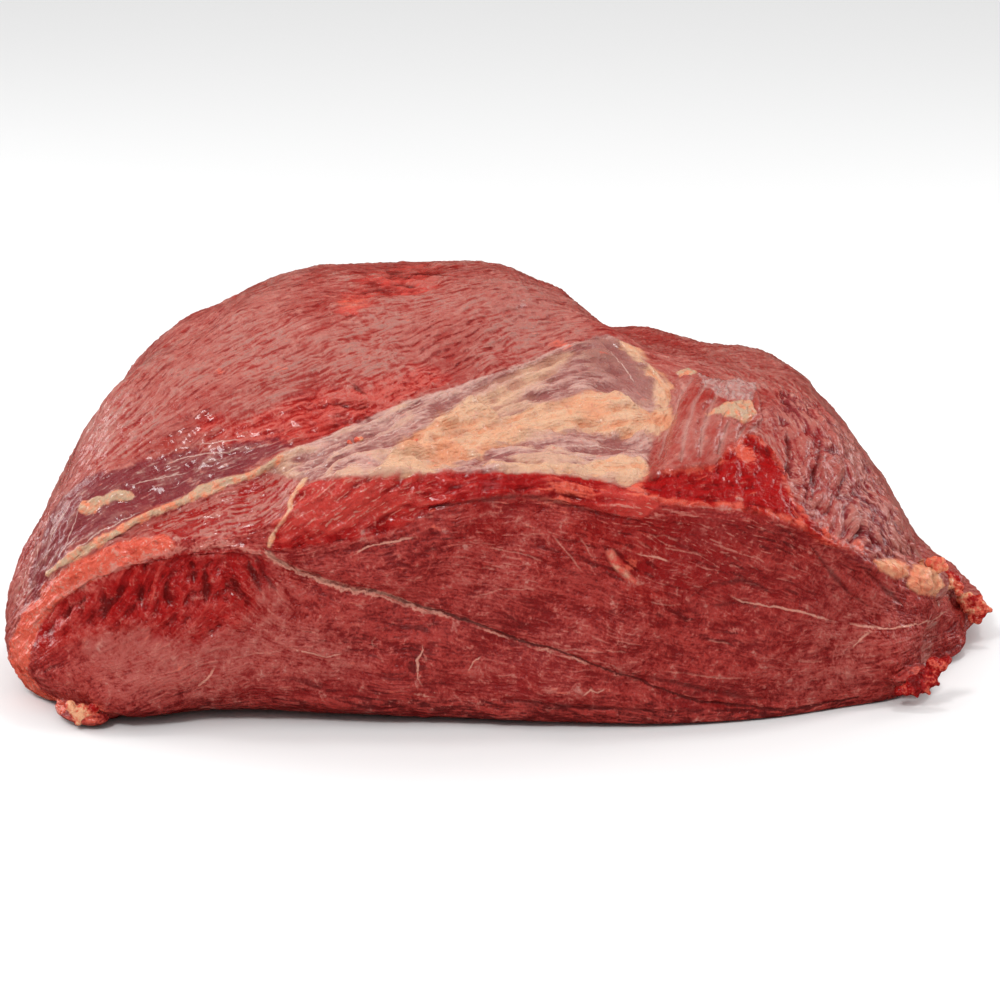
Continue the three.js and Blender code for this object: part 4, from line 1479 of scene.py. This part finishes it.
def make_scrap(name, surface, recipe, paint, seed):
    """A ragged lump: balls joined into one skin, then roughened."""
    hangs_from, lift, balls = recipe
    base = surface.cast(*hangs_from) - FORWARD * lift
    bm = bmesh.new()
    for px, py, size in balls:
        ray = sight_line(px, py)
        depth = float((base - EYE) @ ray)
        centre = Matrix.Translation(Vector((EYE + ray * depth) * MM))
        bmesh.ops.create_icosphere(bm, subdivisions=2, radius=size * depth / FOCAL_PX * MM, matrix=centre)
    mesh = bpy.data.meshes.new(name)
    bm.to_mesh(mesh)
    bm.free()
    piece = bpy.data.objects.new(name, mesh)
    bpy.context.scene.collection.objects.link(piece)
    union = piece.modifiers.new("union", "REMESH")
    union.mode = "VOXEL"
    union.voxel_size = SCRAP_VOXEL
    union.use_smooth_shade = True
    bake(piece)
    points = read_vectors(piece.data.vertices, "co") / MM
    normals = read_vectors(piece.data.vertex_normals, "vector")
    bulk = np.mean([size for _, _, size in balls]) * CAMERA_DISTANCE / FOCAL_PX
    rough = SCRAP_SWELL * fractal(points, SCRAP_SWELL_SIZE, seed, octaves=2)
    rough = bulk * (rough + SCRAP_PUFF * billow(points, SCRAP_PUFF_SIZE, seed + 1))
    moved = points + normals * rough[:, None]
    moved[:, 2] = np.maximum(moved[:, 2], LOWEST)
    piece.data.vertices.foreach_set("co", (moved * MM).astype(np.float32).ravel())
    piece.data.materials.clear()
    piece.data.materials.append(paint)
    piece.data.update()
    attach(piece, "root")


def make_scraps(surface):
    meat = scrap_material("meat_scraps", BRIGHT_RED, RED_ORANGE, TAIL_CREAM)
    flesh = scrap_material("flesh_scraps", FLESH_DEEP, BRIGHT_RED, RED_ORANGE)
    fat = scrap_material("fat_scraps", RED_ORANGE, TAIL_FAT, TAIL_CREAM)
    seed = SCRAP_SEED
    for scraps, paint in ((MEAT_SCRAPS, meat), (FLESH_SCRAPS, flesh), (FAT_SCRAPS, fat)):
        for name, recipe in scraps.items():
            make_scrap(name, surface, recipe, paint, seed)
            seed += 1


# Stage

FLOOR_SIZE = 60.0
FLOOR_COLOUR = (0.80, 0.80, 0.80)
SKY_ZENITH = 1.15
SKY_HORIZON = 0.16
SKY_DIM_BELOW = 0.10
SKY_BRIGHT_ABOVE = 0.85
FAR = 80.0

# Soft boxes in metres and watts: place, aim, size, power, and whether the wet meat mirrors it.
# The front one makes the glints, and the one above only the shadows

LIGHTS = {
    "left strip": ((-1.15, 0.45, 0.45), (0.0, 0.0, 0.07), (0.4, 0.9), 7.0, True),
    "right strip": ((1.1, 0.4, 0.5), (0.0, 0.0, 0.07), (0.3, 0.7), 4.0, True),
    "front": ((-0.55, -1.15, 1.25), (0.0, -0.1, 0.05), (0.30, 0.30), 11.5, True),
    "above": ((0.25, 0.1, 1.35), (0.0, 0.0, 0.05), (0.16, 0.16), 3.0, False),
}


def make_camera():
    camera = bpy.data.cameras.new("camera")
    camera.sensor_width = SENSOR_MM
    camera.lens = LENS_MM
    camera.clip_end = FAR
    holder = bpy.data.objects.new("camera", camera)
    holder.location = Vector(EYE * MM)
    holder.rotation_euler = (math.pi / 2 - CAMERA_ELEVATION, 0.0, 0.0)
    bpy.context.scene.collection.objects.link(holder)
    bpy.context.scene.camera = holder


def make_floor():
    half = FLOOR_SIZE / 2
    mesh = bpy.data.meshes.new("floor")
    corners = [(-half, -half, 0.0), (half, -half, 0.0), (half, half, 0.0), (-half, half, 0.0)]
    mesh.from_pydata(corners, [], [(0, 1, 2, 3)])
    floor = bpy.data.objects.new("floor", mesh)
    bpy.context.scene.collection.objects.link(floor)
    paint = bpy.data.materials.new("floor")
    paint.use_nodes = True
    shader = paint.node_tree.nodes["Principled BSDF"]
    shader.inputs["Base Color"].default_value = (*FLOOR_COLOUR, 1.0)
    shader.inputs["Roughness"].default_value = 0.9
    shader.inputs["Specular IOR Level"].default_value = 0.1
    mesh.materials.append(paint)
    floor.visible_glossy = False


def add_area_light(name, place, aim, size, power, glints):
    light = bpy.data.lights.new(name, "AREA")
    light.shape = "RECTANGLE"
    light.size, light.size_y = size
    light.energy = power
    holder = bpy.data.objects.new(name, light)
    holder.location = place
    holder.rotation_euler = (Vector(aim) - Vector(place)).to_track_quat("-Z", "Y").to_euler()
    holder.visible_glossy = glints
    bpy.context.scene.collection.objects.link(holder)


def make_sky():
    """A sky that is bright overhead and dim at the horizon, as a big soft box over a table is."""
    world = bpy.data.worlds.new("studio")
    bpy.context.scene.world = world
    world.use_nodes = True
    nodes, links = world.node_tree.nodes, world.node_tree.links
    place = nodes.new("ShaderNodeTexCoord")
    split = nodes.new("ShaderNodeSeparateXYZ")
    links.new(place.outputs["Generated"], split.inputs[0])
    fade = nodes.new("ShaderNodeMapRange")
    fade.interpolation_type = "SMOOTHSTEP"
    links.new(split.outputs["Z"], fade.inputs["Value"])
    fade.inputs["From Min"].default_value = SKY_DIM_BELOW
    fade.inputs["From Max"].default_value = SKY_BRIGHT_ABOVE
    fade.inputs["To Min"].default_value = SKY_HORIZON
    fade.inputs["To Max"].default_value = SKY_ZENITH
    background = nodes["Background"]
    links.new(fade.outputs[0], background.inputs["Strength"])
    background.inputs["Color"].default_value = (1.0, 1.0, 1.0, 1.0)
    world.cycles_visibility.glossy = False


def make_lights():
    for name, settings in LIGHTS.items():
        add_area_light(name, *settings)
    make_sky()
    bpy.context.scene.view_settings.view_transform = "Standard"


make_camera()
make_floor()
make_lights()

clod = coarse_copy("clod_meat")
surface = shape_clod(clod)
clod.data.materials.append(meat_material())
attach(clod, "root")
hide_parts(NODE)
make_scraps(surface)
